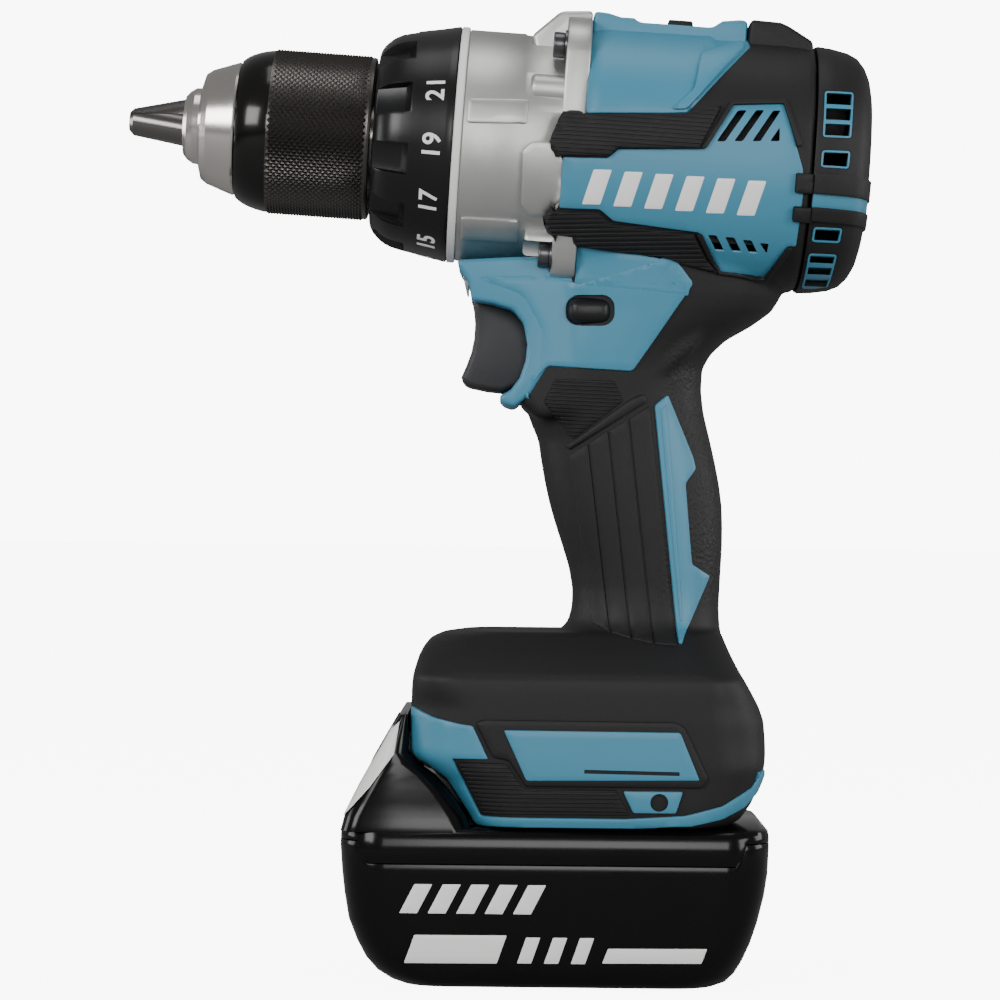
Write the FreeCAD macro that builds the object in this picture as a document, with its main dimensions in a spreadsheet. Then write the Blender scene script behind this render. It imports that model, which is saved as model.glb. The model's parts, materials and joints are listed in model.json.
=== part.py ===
"""Cordless hammer drill with its battery, as a parametric assembly of separate pieces.

Frame: origin at the centre of the battery's flat underside, +Z up, nose towards -X, left side towards -Y.
The head (chuck, gearbox and motor) has its own frame, tilted nose-up: its X axis is the spindle axis, with
negative values towards the nose, and zero just behind the gear case flange.
"""
import FreeCAD
import Part
import math
import os
import re

import Sketcher
from FreeCAD import Placement, Rotation, Vector

SHEET = "Dimensions"

# Every driving dimension, in millimetres or degrees: alias, value.
DIMENSIONS = [
    # head frame
    ("head_x", 9.7), ("head_z", 227.2), ("head_tilt", 3.6), ("edge", 1.0), ("wall", 2.6),
    ("running_gap", 0.05), ("free_gap", 0.3),
    # chuck
    ("jaw_tip", -130.0), ("jaw_length", 37.0), ("jaw_radius", 4.2), ("jaw_angle", 14.0),
    ("jaw_tip_radius", 3.4), ("jaw_gap", 0.12), ("bit_bore_radius", 0.75), ("jaw_travel", 23.7),
    ("nose_front", -114.6), ("nose_back", -110.6), ("nose_radius", 10.6), ("nose_bore_radius", 6.8),
    ("cone_front_radius", 13.4), ("cone_shoulder", -106.8), ("cone_shoulder_radius", 16.6),
    ("cone_back", -99.9), ("cone_radius", 19.0), ("nut_front", -99.5), ("nut_back", -93.5),
    ("nut_groove_radius", 10.2), ("nut_radius", 17.3), ("chuck_core_radius", 19.2), ("chuck_back", -64.0),
    ("sleeve_front", -99.4), ("sleeve_crown", -91.5), ("sleeve_front_radius", 19.4),
    ("sleeve_radius", 22.6), ("sleeve_back", -62.4), ("sleeve_bore_radius", 19.5),
    ("chuck_thread_radius", 6.3), ("chuck_thread_front", -76.0), ("chuck_web", 2.0),
    ("chuck_screw_head_front", -81.4), ("chuck_screw_head_radius", 3.4), ("chuck_screw_radius", 2.5),
    ("chuck_screw_back", -60.0),
    # spindle, cams and bearing
    ("spindle_radius", 7.4), ("spindle_collar_radius", 9.4), ("bearing_front", -60.0),
    ("bearing_back", -53.0), ("bearing_radius", 14.5), ("bearing_bore_radius", 7.45), ("cam_front", -46.0),
    ("cam_width", 4.0), ("cam_radius", 13.0), ("cam_tooth", 1.2), ("cam_count", 13),
    ("carrier_front", -24.0), ("carrier_back", -21.4), ("carrier_radius", 17.0),
    # torque ring, trim ring and clutch spring
    ("ring_front", -61.6), ("ring_back", -39.9), ("ring_front_radius", 23.6), ("ring_shoulder", -57.4),
    ("ring_shoulder_radius", 28.6), ("ring_middle", -50.0), ("ring_middle_radius", 31.0),
    ("ring_back_radius", 32.4), ("ring_lip_radius", 21.0), ("ring_lip_back", -58.4),
    ("ring_bore_radius", 26.0), ("grip_notch_count", 12), ("grip_notch_width", 7.0),
    ("grip_notch_length", 11.0), ("grip_notch_floor", 27.4), ("trim_front", -39.6), ("trim_back", -37.4),
    ("trim_radius", 32.6), ("trim_bore_radius", 26.5), ("clutch_spring_front", -57.0),
    ("clutch_spring_back", -41.0), ("clutch_spring_radius", 23.4), ("clutch_wire_radius", 0.9),
    ("clutch_turns", 5),
    # gear case
    ("case_front", -37.4), ("case_radius", 32.0), ("case_bore_radius", 24.2), ("case_web_back", -28.0),
    ("case_back", -1.5), ("neck_radius", 20.2), ("neck_bore_radius", 13.4), ("neck_front", -60.4),
    ("flange_front", -9.5), ("flange_half_width", 30.0), ("flange_half_height", 35.4),
    ("flange_corner", 40.0), ("ridge_foot", -19.9), ("ridge_top_front", -12.4), ("ridge_height", 39.0),
    ("ridge_half_width", 15.0), ("case_screw_y", 24.6), ("case_screw_z", 26.6), ("low_screw_y", 20.2),
    ("low_screw_z", -30.0), ("case_screw_radius", 2.0), ("screw_head_radius", 3.8),
    ("screw_head_height", 3.2), ("case_screw_length", 20.0), ("boss_back", 12.0), ("pad_height", 0.8),
    ("pad_width", 7.0),
    # gear train: two planetary stages of one module
    ("module", 0.8), ("sun_teeth", 18), ("planet_teeth", 15), ("ring_teeth", 48), ("first_front", -9.2),
    ("first_back", -3.6), ("last_front", -20.8), ("last_back", -15.2), ("first_carrier_front", -13.0),
    ("first_carrier_back", -10.2), ("pin_radius", 2.0),
    # motor
    ("bracket_front", -1.2), ("bracket_back", 2.0), ("bracket_hub_back", 9.0), ("bracket_hub_radius", 11.0),
    ("motor_bearing_radius", 8.0), ("motor_bearing_width", 5.0), ("front_bearing_start", 3.4),
    ("rear_bearing_start", 59.0), ("shaft_radius", 2.5), ("shaft_back", 65.0), ("stator_front", 17.0),
    ("stator_back", 39.0), ("stator_radius", 26.0), ("stator_bore_radius", 12.4), ("stator_slot_count", 6),
    ("stator_yoke", 4.0), ("stator_tooth_width", 6.0), ("coil_overhang", 4.5), ("coil_thickness", 2.4),
    ("rotor_radius", 11.8), ("magnet_thickness", 2.2), ("fan_front", 45.0), ("fan_back", 51.0),
    ("fan_radius", 25.0), ("fan_hub_radius", 7.0), ("fan_blade_count", 11), ("fan_plate", 1.4),
    # housing around the motor and rear cover
    ("shell_front", -1.2), ("shell_back", 57.4), ("shell_radius", 34.0), ("shell_bore_radius", 31.3),
    ("selector_half_width", 15.0), ("selector_height", 38.2), ("selector_slope_front", 47.5),
    ("selector_slot_front", 5.0), ("selector_slot_back", 33.0), ("selector_slot_half_width", 7.5),
    ("selector_floor", 34.2), ("knob_front", 16.7), ("knob_length", 7.2), ("knob_half_width", 5.5),
    ("knob_height", 38.6), ("slider_length", 17.0), ("slider_half_width", 6.8), ("slider_thickness", 1.4),
    ("cap_front", 57.6), ("cap_back", 74.0), ("cap_radius", 33.4), ("cap_shoulder", 69.0),
    ("cap_back_radius", 24.0), ("cap_crown_radius", 30.0), ("cap_screw_reach", 25.0),
    ("cap_hub_radius", 11.0),
    # grip and trigger frame, in the tool's own frame
    ("grip_skin", 1.2), ("grip_hollow_half_width", 13.0), ("trigger_front", -26.6), ("trigger_back", -8.0),
    ("trigger_half_width", 8.6), ("trigger_top", 187.0), ("trigger_bottom", 162.0), ("trigger_travel", 7.0),
    ("frame_half_width", 20.5), ("lever_x", 7.7), ("lever_z", 183.0), ("lever_length", 12.4),
    ("lever_height", 7.4), ("lever_half_width", 22.6), ("lamp_x", -28.6), ("lamp_z", 190.6),
    ("lamp_depth", 3.4), ("lamp_half_width", 6.0), ("lamp_height", 5.6), ("switch_front", 2.0),
    ("switch_back", 30.0), ("switch_bottom", 158.0), ("switch_top", 178.0), ("switch_half_width", 10.0),
    ("stem_radius", 2.2), ("stem_back", 1.4), ("stem_z", 168.0),
    # base of the handle
    ("base_front", -39.8), ("base_back", 56.4), ("base_half_width", 39.0), ("base_bottom", 43.7),
    ("base_top", 95.8), ("base_corner", 17.0), ("bay_front", -46.0), ("bay_back", 43.0),
    ("bay_half_width", 27.0), ("bay_top", 60.4), ("lip_half_width", 23.2), ("lip_front", -18.0),
    ("lip_bottom", 45.6), ("lip_top", 49.2), ("hook_hole_x", 27.1), ("hook_hole_z", 51.4),
    ("hook_hole_radius", 2.9), ("hook_nut_bore_radius", 2.0), ("hook_nut_radius", 4.4),
    ("hook_nut_length", 8.0), ("board_top", 71.0), ("board_half_width", 24.0),
    # battery
    ("battery_front", -58.5), ("battery_back", 57.6), ("battery_half_width", 37.4), ("tray_top", 33.6),
    ("lid_top", 43.3), ("tray_corner", 13.0), ("case_wall", 2.2), ("hump_top", 73.4),
    ("hump_half_width", 33.0), ("tower_front", -41.0), ("tower_back", 41.5), ("tower_half_width", 26.6),
    ("tower_waist", 22.8), ("tower_top", 60.0), ("blade_y", 9.0), ("blade_slot", 1.0), ("blade_front", 6.0),
    ("blade_back", 26.0), ("blade_bottom", 52.0), ("cell_radius", 9.0), ("cell_length", 65.0),
    ("cell_pitch", 19.2), ("cell_rows", 5), ("cell_bottom", 3.6), ("strap_thickness", 0.3),
    ("button_half_width", 11.0), ("latch_half_width", 7.0), ("latch_front", -36.0), ("latch_back", -31.0),
    ("latch_top", 62.2),
    
]

doc = FreeCAD.newDocument("cordless_drill")
sheet = doc.addObject("Spreadsheet::Sheet", SHEET)
for row, (alias, value) in enumerate(DIMENSIONS, start=1):
    sheet.set(f"A{row}", alias)
    sheet.set(f"B{row}", str(value))
    sheet.setAlias(f"B{row}", alias)
doc.recompute()

X_AXIS, Y_AXIS = Vector(1, 0, 0), Vector(0, 1, 0)
ALIASES = {alias for alias, _ in DIMENSIONS}
ALONG_X = Rotation(Y_AXIS, 90)
ALONG_Y = Rotation(X_AXIS, -90)
sub_parts = []


# ---------------------------------------------------------------- helpers
def size(name):
    """The value of one cell of the sheet."""
    return float(sheet.get(name))


def bound(text):
    """An expression on sheet aliases, such as "ring_front + edge", with the sheet's name put before each."""
    def named(word):
        return f"{SHEET}.{word.group()}" if word.group() in ALIASES else word.group()

    return re.sub(r"[a-z_]+", named, text)


def bind(feature, **expressions):
    """Ties properties of a feature to expressions on the sheet."""
    for name, text in expressions.items():
        feature.setExpression(name.replace("__", "."), bound(text))
    return feature


def on_head(feature):
    """Places a feature that is modelled in the head's frame."""
    feature.Placement = Placement(Vector(size("head_x"), 0, size("head_z")),
                                  Rotation(Y_AXIS, size("head_tilt")))
    bind(feature, Placement__Base__x="head_x", Placement__Base__z="head_z",
         Placement__Rotation__Angle="head_tilt")
    return feature


def keep(feature, label):
    """Names a finished sub-part, whose Label names its file."""
    feature.Label = label
    sub_parts.append(feature)
    return feature


def profile_sketch(body, plane_role, corners):
    """A closed polyline sketch whose corners are tied to the sheet; a corner is a pair of expressions."""
    sketch = body.newObject("Sketcher::SketchObject", "profile")
    plane = next(f for f in body.Origin.OriginFeatures if f.Role == plane_role)
    sketch.AttachmentSupport = [(plane, "")]
    sketch.MapMode = "FlatFace"
    count = len(corners)
    start = [Vector(math.cos(2 * math.pi * i / count), math.sin(2 * math.pi * i / count), 0)
             for i in range(count)]
    for i in range(count):
        sketch.addGeometry(Part.LineSegment(start[i], start[(i + 1) % count]), False)
    for i in range(count):
        sketch.addConstraint(Sketcher.Constraint("Coincident", i, 2, (i + 1) % count, 1))
    for i, corner in enumerate(corners):
        for kind, text, place in zip(("DistanceX", "DistanceY"), corner, start[i]):
            index = sketch.addConstraint(Sketcher.Constraint(kind, -1, 1, i, 1, place))
            sketch.setExpression(f"Constraints[{index}]", bound(text))
    return sketch


def turned(name, corners):
    """A body turned about the local X axis; corners are (place along the axis, radius)."""
    body = doc.addObject("PartDesign::Body", name)
    sketch = profile_sketch(body, "XY_Plane", corners)
    turning = body.newObject("PartDesign::Revolution", f"{name}_turning")
    turning.Profile = sketch
    turning.ReferenceAxis = (sketch, ["H_Axis"])
    turning.Angle = 360
    return body


def padded(name, corners, half_width):
    """A body padded from a side profile in the XZ plane, half_width to each side of it."""
    body = doc.addObject("PartDesign::Body", name)
    sketch = profile_sketch(body, "XZ_Plane", corners)
    pad = body.newObject("PartDesign::Pad", f"{name}_pad")
    pad.Profile = sketch
    pad.Midplane = True
    bind(pad, Length=f"2 * ({half_width})")
    return body


def box(name, x, y, z):
    """A Part box between pairs of expressions: (from, to) along each axis."""
    block = doc.addObject("Part::Box", name)
    bind(block, Length=f"({x[1]}) - ({x[0]})", Width=f"({y[1]}) - ({y[0]})", Height=f"({z[1]}) - ({z[0]})")
    bind(block, Placement__Base__x=x[0], Placement__Base__y=y[0], Placement__Base__z=z[0])
    return block


def rod(name, radius, length, x="0", y="0", z="0", turn=None):
    """A Part cylinder that starts at a point and runs along X unless turned otherwise."""
    bar = doc.addObject("Part::Cylinder", name)
    bar.Placement = Placement(Vector(), turn or ALONG_X)
    bind(bar, Radius=radius, Height=length, Placement__Base__x=x, Placement__Base__y=y, Placement__Base__z=z)
    return bar


def cut(name, base, tools):
    """base with the tools taken away."""
    tool = tools[0] if len(tools) == 1 else fuse(f"{name}_tools", tools)
    made = doc.addObject("Part::Cut", name)
    made.Base, made.Tool = base, tool
    return made


def fuse(name, shapes):
    """One solid out of several."""
    made = doc.addObject("Part::MultiFuse", name)
    made.Shapes = shapes
    return made


def common(name, shapes):
    """What several solids share."""
    made = doc.addObject("Part::MultiCommon", name)
    made.Shapes = shapes
    return made


def group(name, shapes):
    """Separate solids kept as one sub-part."""
    made = doc.addObject("Part::Compound", name)
    made.Links = shapes
    return made


def shaped(name, shape):
    """A feature whose shape is worked out in code, for lofts, helices and gear teeth."""
    made = doc.addObject("Part::Feature", name)
    made.Shape = Part.makeCompound([shape])
    return made


def headed(name, shapes):
    """Features modelled in the head's frame, put on the head together as one tool or blank."""
    return on_head(group(name, shapes) if len(shapes) == 1 else fuse(name, shapes))


def ring_of(name, feature, count, axis=X_AXIS):
    """Copies of a feature at even steps about the head's axis, as one feature."""
    doc.recompute()
    step = 360.0 / int(size(count))
    copies = []
    for i in range(int(size(count))):
        copy = feature.Shape.copy()
        copy.rotate(Vector(), axis, i * step)
        copies.append(copy)
    return shaped(name, Part.makeCompound(copies))


# ---------------------------------------------------------------- chuck
def jaw_axis():
    """A point of the first jaw's axis, and its direction towards the back and outwards."""
    slope = math.radians(size("jaw_angle"))
    out = size("jaw_tip_radius") - size("jaw_radius") / math.cos(slope)
    return Vector(size("jaw_tip"), 0, out), Vector(math.cos(slope), 0, math.sin(slope))


def jaw_shape(angle):
    """One jaw: a leaning cylinder cut to a third of a circle, with a groove for the drill bit."""
    start, direction = jaw_axis()
    reach, gap, spread = size("jaw_length"), size("jaw_gap"), math.tan(math.radians(30))
    leaning = Part.makeCylinder(size("jaw_radius"), reach / direction.x + 12, start - direction * 6,
                                direction)
    slab = Part.makeBox(reach, 60, 60, Vector(size("jaw_tip"), -30, -30))
    third = Part.makePolygon([Vector(0, 0, gap), Vector(0, 40, gap + 40 * spread), Vector(0, 40, 60),
                              Vector(0, -40, 60), Vector(0, -40, gap + 40 * spread), Vector(0, 0, gap)])
    wedge = Part.Face(third).extrude(Vector(reach + 2, 0, 0))
    wedge.translate(Vector(size("jaw_tip") - 1, 0, 0))
    bit = Part.makeCylinder(size("bit_bore_radius"), reach + 4, Vector(size("jaw_tip") - 2, 0, 0), X_AXIS)
    nose = size("jaw_tip_radius") - 0.8
    chamfer = Part.makeCone(nose, nose + reach + 2, reach + 2, Vector(size("jaw_tip"), 0, 0), X_AXIS)
    jaw = leaning.common(slab).common(wedge).cut(bit).common(chamfer)
    jaw.rotate(Vector(), X_AXIS, angle)
    return jaw


def jaw_tunnel(angle):
    """The slanting bore of the chuck body that one jaw slides in."""
    start, direction = jaw_axis()
    reach = size("jaw_length") / direction.x + size("jaw_travel") + 2
    bore = Part.makeCylinder(size("jaw_radius") + size("running_gap"), reach, start, direction)
    bore.rotate(Vector(), X_AXIS, angle)
    return bore


def make_chuck():
    """Chuck body, jaws, nut, knurled sleeve and the screw that holds the chuck on."""
    blank = turned("chuck_blank", [
        ("nose_front", "nose_bore_radius"), ("nose_front", "nose_radius - 2 * edge"),
        ("nose_front + 2 * edge", "nose_radius"), ("nose_back", "nose_radius"),
        ("nose_back", "cone_front_radius"), ("cone_shoulder", "cone_shoulder_radius"),
        ("cone_back", "cone_radius"), ("cone_back", "nut_groove_radius"),
        ("nut_back + free_gap", "nut_groove_radius"), ("nut_back + free_gap", "chuck_core_radius"),
        ("chuck_back", "chuck_core_radius"), ("chuck_back", "chuck_thread_radius"),
        ("chuck_thread_front", "chuck_thread_radius"),
        ("chuck_thread_front", "chuck_screw_radius + running_gap"),
        ("chuck_thread_front - chuck_web", "chuck_screw_radius + running_gap"),
        ("chuck_thread_front - chuck_web", "nose_bore_radius")])
    tunnels = shaped("jaw_tunnels", Part.makeCompound([jaw_tunnel(120 * k) for k in range(3)]))
    on_head(keep(cut("chuck_body_cut", blank, [tunnels]), "chuck_body"))
    for k in range(3):
        on_head(keep(shaped(f"jaw_form_{k + 1}", jaw_shape(120 * k)), f"chuck_jaw_{k + 1}"))
    jaw_line = "jaw_tip_radius + free_gap + tan(jaw_angle * 1 deg)"
    on_head(keep(turned("chuck_nut_body", [
        ("nut_front", f"{jaw_line} * (nut_front - jaw_tip)"), ("nut_front", "nut_radius"),
        ("nut_back", "nut_radius"), ("nut_back", f"{jaw_line} * (nut_back - jaw_tip)")]), "chuck_nut"))
    on_head(keep(turned("chuck_sleeve_body", [
        ("sleeve_front", "nut_radius"), ("sleeve_front", "sleeve_front_radius"),
        ("sleeve_front + 3 * edge", "sleeve_front_radius + 1.6 * edge"),
        ("sleeve_crown", "sleeve_radius - 0.3 * edge"),
        ("sleeve_crown + edge", "sleeve_radius"), ("sleeve_back - edge", "sleeve_radius"),
        ("sleeve_back", "sleeve_radius - edge"), ("sleeve_back", "sleeve_bore_radius"),
        ("nut_back", "sleeve_bore_radius"), ("nut_back", "nut_radius")]), "chuck_sleeve"))
    on_head(keep(turned("chuck_screw_body", [
        ("chuck_screw_head_front", "0"), ("chuck_screw_head_front", "chuck_screw_head_radius"),
        ("chuck_thread_front - chuck_web", "chuck_screw_head_radius"),
        ("chuck_thread_front - chuck_web", "chuck_screw_radius"),
        ("chuck_screw_back", "chuck_screw_radius"), ("chuck_screw_back", "0")]), "chuck_screw"))


# ---------------------------------------------------------------- gears
def gear_outline(teeth, turn, inside=False):
    """A gear's outline in the YZ plane, with straight flanks and backlash; turn is in degrees."""
    module = size("module")
    pitch_radius = module * teeth / 2
    side = -1 if inside else 1
    tip, root = pitch_radius + side * 0.8 * module, pitch_radius - side * 1.15 * module
    tooth = 360.0 / teeth
    corners = []
    for i in range(teeth):
        for radius, share in ((root, -0.31), (tip, -0.10), (tip, 0.10), (root, 0.31)):
            angle = math.radians(turn + (i + share) * tooth)
            corners.append(Vector(0, radius * math.cos(angle), radius * math.sin(angle)))
    return Part.makePolygon(corners + corners[:1])


def gear(teeth, turn, front, back):
    """A solid spur gear between two places on the axis."""
    wheel = Part.Face(gear_outline(teeth, turn)).extrude(Vector(back - front, 0, 0))
    wheel.translate(Vector(front, 0, 0))
    return wheel


def ring_gear(front, back):
    """An internal gear between two places on the axis, with a gap where each planet has a tooth."""
    teeth = int(size("ring_teeth"))
    rim = Part.makeCylinder(size("case_bore_radius"), back - front, Vector(front, 0, 0), X_AXIS)
    hole = Part.Face(gear_outline(teeth, 180.0 / teeth, inside=True)).extrude(Vector(back - front + 2, 0, 0))
    hole.translate(Vector(front - 1, 0, 0))
    return rim.cut(hole)


def planet_centre(index):
    """Centre of one of three planets, in the head's frame."""
    reach = size("module") * (size("sun_teeth") + size("planet_teeth")) / 2
    angle = math.radians(120.0 * index)
    return Vector(0, reach * math.cos(angle), reach * math.sin(angle))


def carrier_pins(front, back):
    """The three pins that planets turn on."""
    return Part.makeCompound([Part.makeCylinder(size("pin_radius"), back - front,
                                                Vector(front, 0, 0) + planet_centre(k),
                                                X_AXIS) for k in range(3)])


def make_gear_train():
    """Ring gears, planets, the first carrier, and the spindle, which is one piece with the last carrier."""
    planet_teeth, sun_teeth = int(size("planet_teeth")), int(size("sun_teeth"))
    stages = (("first", size("first_front"), size("first_back")),
              ("last", size("last_front"), size("last_back")))
    rings = [ring_gear(front, back) for _, front, back in stages]
    on_head(keep(shaped("ring_gear_teeth", Part.makeCompound(rings)), "ring_gears"))
    for stage, front, back in stages:
        for k in range(3):
            turn = 120.0 * k + 180.0 + 180.0 / planet_teeth
            bore = Part.makeCylinder(size("pin_radius") + size("running_gap"), back - front,
                                     Vector(front, 0, 0), X_AXIS)
            wheel = gear(planet_teeth, turn, front, back).cut(bore)
            wheel.translate(planet_centre(k))
            on_head(keep(shaped(f"{stage}_planet_form_{k + 1}", wheel), f"{stage}_planet_{k + 1}"))
    plate = turned("first_carrier_plate", [
        ("first_carrier_front", "0"), ("first_carrier_front", "carrier_radius"),
        ("first_carrier_back", "carrier_radius"), ("first_carrier_back", "0")])
    sun = shaped("last_sun", gear(sun_teeth, 0, size("last_front"), size("first_carrier_front")))
    pins = shaped("first_pins", carrier_pins(size("first_carrier_back"), size("first_back")))
    on_head(keep(fuse("first_carrier_fuse", [plate, sun, pins]), "first_carrier"))
    spindle = turned("spindle_turning", [
        ("chuck_thread_front + 0.1 * edge", "chuck_screw_radius"),
        ("chuck_thread_front + 0.1 * edge", "chuck_thread_radius"),
        ("chuck_back", "chuck_thread_radius"),
        ("chuck_back", "spindle_collar_radius"), ("bearing_front - edge", "spindle_collar_radius"),
        ("bearing_front - edge", "spindle_radius"), ("carrier_front", "spindle_radius"),
        ("carrier_front", "carrier_radius"), ("carrier_back", "carrier_radius"), ("carrier_back", "0"),
        ("chuck_screw_back", "0"), ("chuck_screw_back", "chuck_screw_radius")])
    last_pins = shaped("last_pins", carrier_pins(size("carrier_back"), size("last_back")))
    on_head(keep(fuse("spindle_fuse", [spindle, last_pins]), "spindle"))


def toothed_ring(name, front, back, tooth_front, bore, outside):
    """A hammer cam: a ring with square teeth on one face."""
    ring = turned(f"{name}_ring", [(front, bore), (front, outside), (back, outside), (back, bore)])
    tooth = box(f"{name}_tooth", (tooth_front, f"{tooth_front} + cam_tooth"), ("-cam_tooth", "cam_tooth"),
                ("spindle_radius + 2 * edge", "cam_radius - edge"))
    return fuse(f"{name}_fuse", [ring, ring_of(f"{name}_teeth", tooth, "cam_count")])


def make_cams_and_bearings():
    """The two hammer cams, the spindle's bearing and the motor's bearings."""
    on_head(keep(toothed_ring("turning", "cam_front", "cam_front + cam_width", "cam_front + cam_width",
                              "spindle_radius", "cam_radius"), "turning_cam"))
    fixed_front = "cam_front + cam_width + 3 * cam_tooth"
    on_head(keep(toothed_ring("fixed", fixed_front, f"{fixed_front} + cam_width",
                              f"{fixed_front} - cam_tooth",
                              "spindle_radius + free_gap", "neck_bore_radius"), "fixed_cam"))
    on_head(keep(turned("spindle_bearing_body", [
        ("bearing_front", "bearing_bore_radius"), ("bearing_front", "bearing_radius"),
        ("bearing_back", "bearing_radius"), ("bearing_back", "bearing_bore_radius")]), "spindle_bearing"))
    races = [turned(f"motor_bearing_{k + 1}", [
        (start, "shaft_radius + running_gap"), (start, "motor_bearing_radius"),
        (f"{start} + motor_bearing_width", "motor_bearing_radius"),
        (f"{start} + motor_bearing_width", "shaft_radius + running_gap")])
        for k, start in enumerate(("front_bearing_start", "rear_bearing_start"))]
    on_head(keep(group("motor_bearing_group", races), "motor_bearings"))


# ---------------------------------------------------------------- torque ring and gear case
def make_torque_ring():
    """The numbered ring with finger notches, the pale trim ring behind it and the clutch spring inside."""
    blank = turned("torque_ring_turning", [
        ("ring_front", "ring_lip_radius"), ("ring_front", "ring_front_radius"),
        ("ring_front + 0.4 * edge", "ring_front_radius + 1.2 * edge"),
        ("ring_shoulder", "ring_shoulder_radius"), ("ring_middle", "ring_middle_radius"),
        ("ring_back", "ring_back_radius"), ("ring_back", "ring_bore_radius"),
        ("ring_lip_back", "ring_bore_radius"), ("ring_lip_back", "ring_lip_radius")])
    notch = box("finger_notch", ("ring_front + 2 * edge", "ring_front + grip_notch_length"),
                ("-grip_notch_width / 2", "grip_notch_width / 2"),
                ("grip_notch_floor", "ring_back_radius + edge"))
    notches = ring_of("finger_notches", notch, "grip_notch_count")
    on_head(keep(cut("torque_ring_cut", blank, [notches]), "torque_ring"))
    on_head(keep(turned("trim_ring_body", [
        ("trim_front", "trim_bore_radius"), ("trim_front", "trim_radius"), ("trim_back", "trim_radius"),
        ("trim_back", "trim_bore_radius")]), "trim_ring"))
    length = size("clutch_spring_back") - size("clutch_spring_front")
    helix = Part.makeHelix(length / size("clutch_turns"), length, size("clutch_spring_radius"))
    wire = Part.Wire(Part.makeCircle(size("clutch_wire_radius"), Vector(size("clutch_spring_radius"), 0, 0),
                                     Y_AXIS))
    coil = Part.Wire(helix).makePipeShell([wire], True, True)
    coil.rotate(Vector(), Y_AXIS, 90)
    coil.translate(Vector(size("clutch_spring_front"), 0, 0))
    on_head(keep(shaped("clutch_spring_coil", coil), "clutch_spring"))


def case_screw_places():
    """Where the four gear case screws sit in the head's YZ plane."""
    return [("upper_right", "case_screw_y", "case_screw_z"), ("upper_left", "-case_screw_y", "case_screw_z"),
            ("lower_right", "low_screw_y", "low_screw_z"), ("lower_left", "-low_screw_y", "low_screw_z")]


def make_gear_case():
    """The cast gear case: neck, can, flange, selector ridge, grip pads and its four screws."""
    can = turned("case_turning", [
        ("neck_front", "bearing_radius"), ("neck_front", "neck_radius"), ("case_front", "neck_radius"),
        ("case_front", "case_radius"), ("case_back", "case_radius"), ("case_back", "case_bore_radius"),
        ("case_web_back", "case_bore_radius"), ("case_web_back", "neck_bore_radius"),
        ("bearing_back", "neck_bore_radius"), ("bearing_back", "bearing_radius")])
    plate = box("flange_plate", ("flange_front", "case_back"), ("-flange_half_width", "flange_half_width"),
                ("-flange_half_height", "flange_half_height"))
    disc = rod("flange_disc", "flange_corner", "case_back - flange_front", "flange_front")
    ridge = padded("selector_ridge", [
        ("ridge_foot", "case_radius - 2 * edge"), ("ridge_top_front", "ridge_height - 0.4 * edge"),
        ("case_back", "ridge_height"), ("case_back", "case_radius - 6 * edge"),
        ("ridge_foot", "case_radius - 6 * edge")], "ridge_half_width")
    pads = [box(f"grip_pad_{i}{j}", ("case_front + edge", "case_front + 17 * edge"),
                (f"({i}) * 29.5 * edge - 4 * edge", f"({i}) * 29.5 * edge + 4 * edge"),
                (f"({j}) * 12 * edge - pad_width / 2", f"({j}) * 12 * edge + pad_width / 2"))
            for i in (-1, 1) for j in (-1, 1)]
    pad_limit = rod("pad_limit", "case_radius + pad_height", "17 * edge", "case_front")
    solid = fuse("gear_case_fuse", [can, common("flange", [plate, disc]), ridge,
                                    common("grip_pads", [fuse("grip_pad_blocks", pads), pad_limit])])
    cavity = rod("case_cavity", "case_bore_radius", "case_back - case_web_back + edge", "case_web_back")
    room, screws = [], []
    for place, y, z in case_screw_places():
        room.append(rod(f"seat_{place}", "screw_head_radius + free_gap", "11 * edge",
                        "flange_front - 11 * edge", y, z))
        room.append(rod(f"hole_{place}", "case_screw_radius + running_gap", "12 * edge",
                        "flange_front - edge", y, z))
        head = rod(f"head_{place}", "screw_head_radius", "screw_head_height",
                   "flange_front - screw_head_height", y, z)
        shank = rod(f"shank_{place}", "case_screw_radius", "case_screw_length",
                    "flange_front - screw_head_height", y, z)
        screws.append(fuse(f"screw_{place}", [head, shank]))
    on_head(keep(cut("gear_case_cut", solid, [cavity] + room), "gear_case"))
    on_head(keep(group("case_screw_group", screws), "gear_case_screws"))


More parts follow.
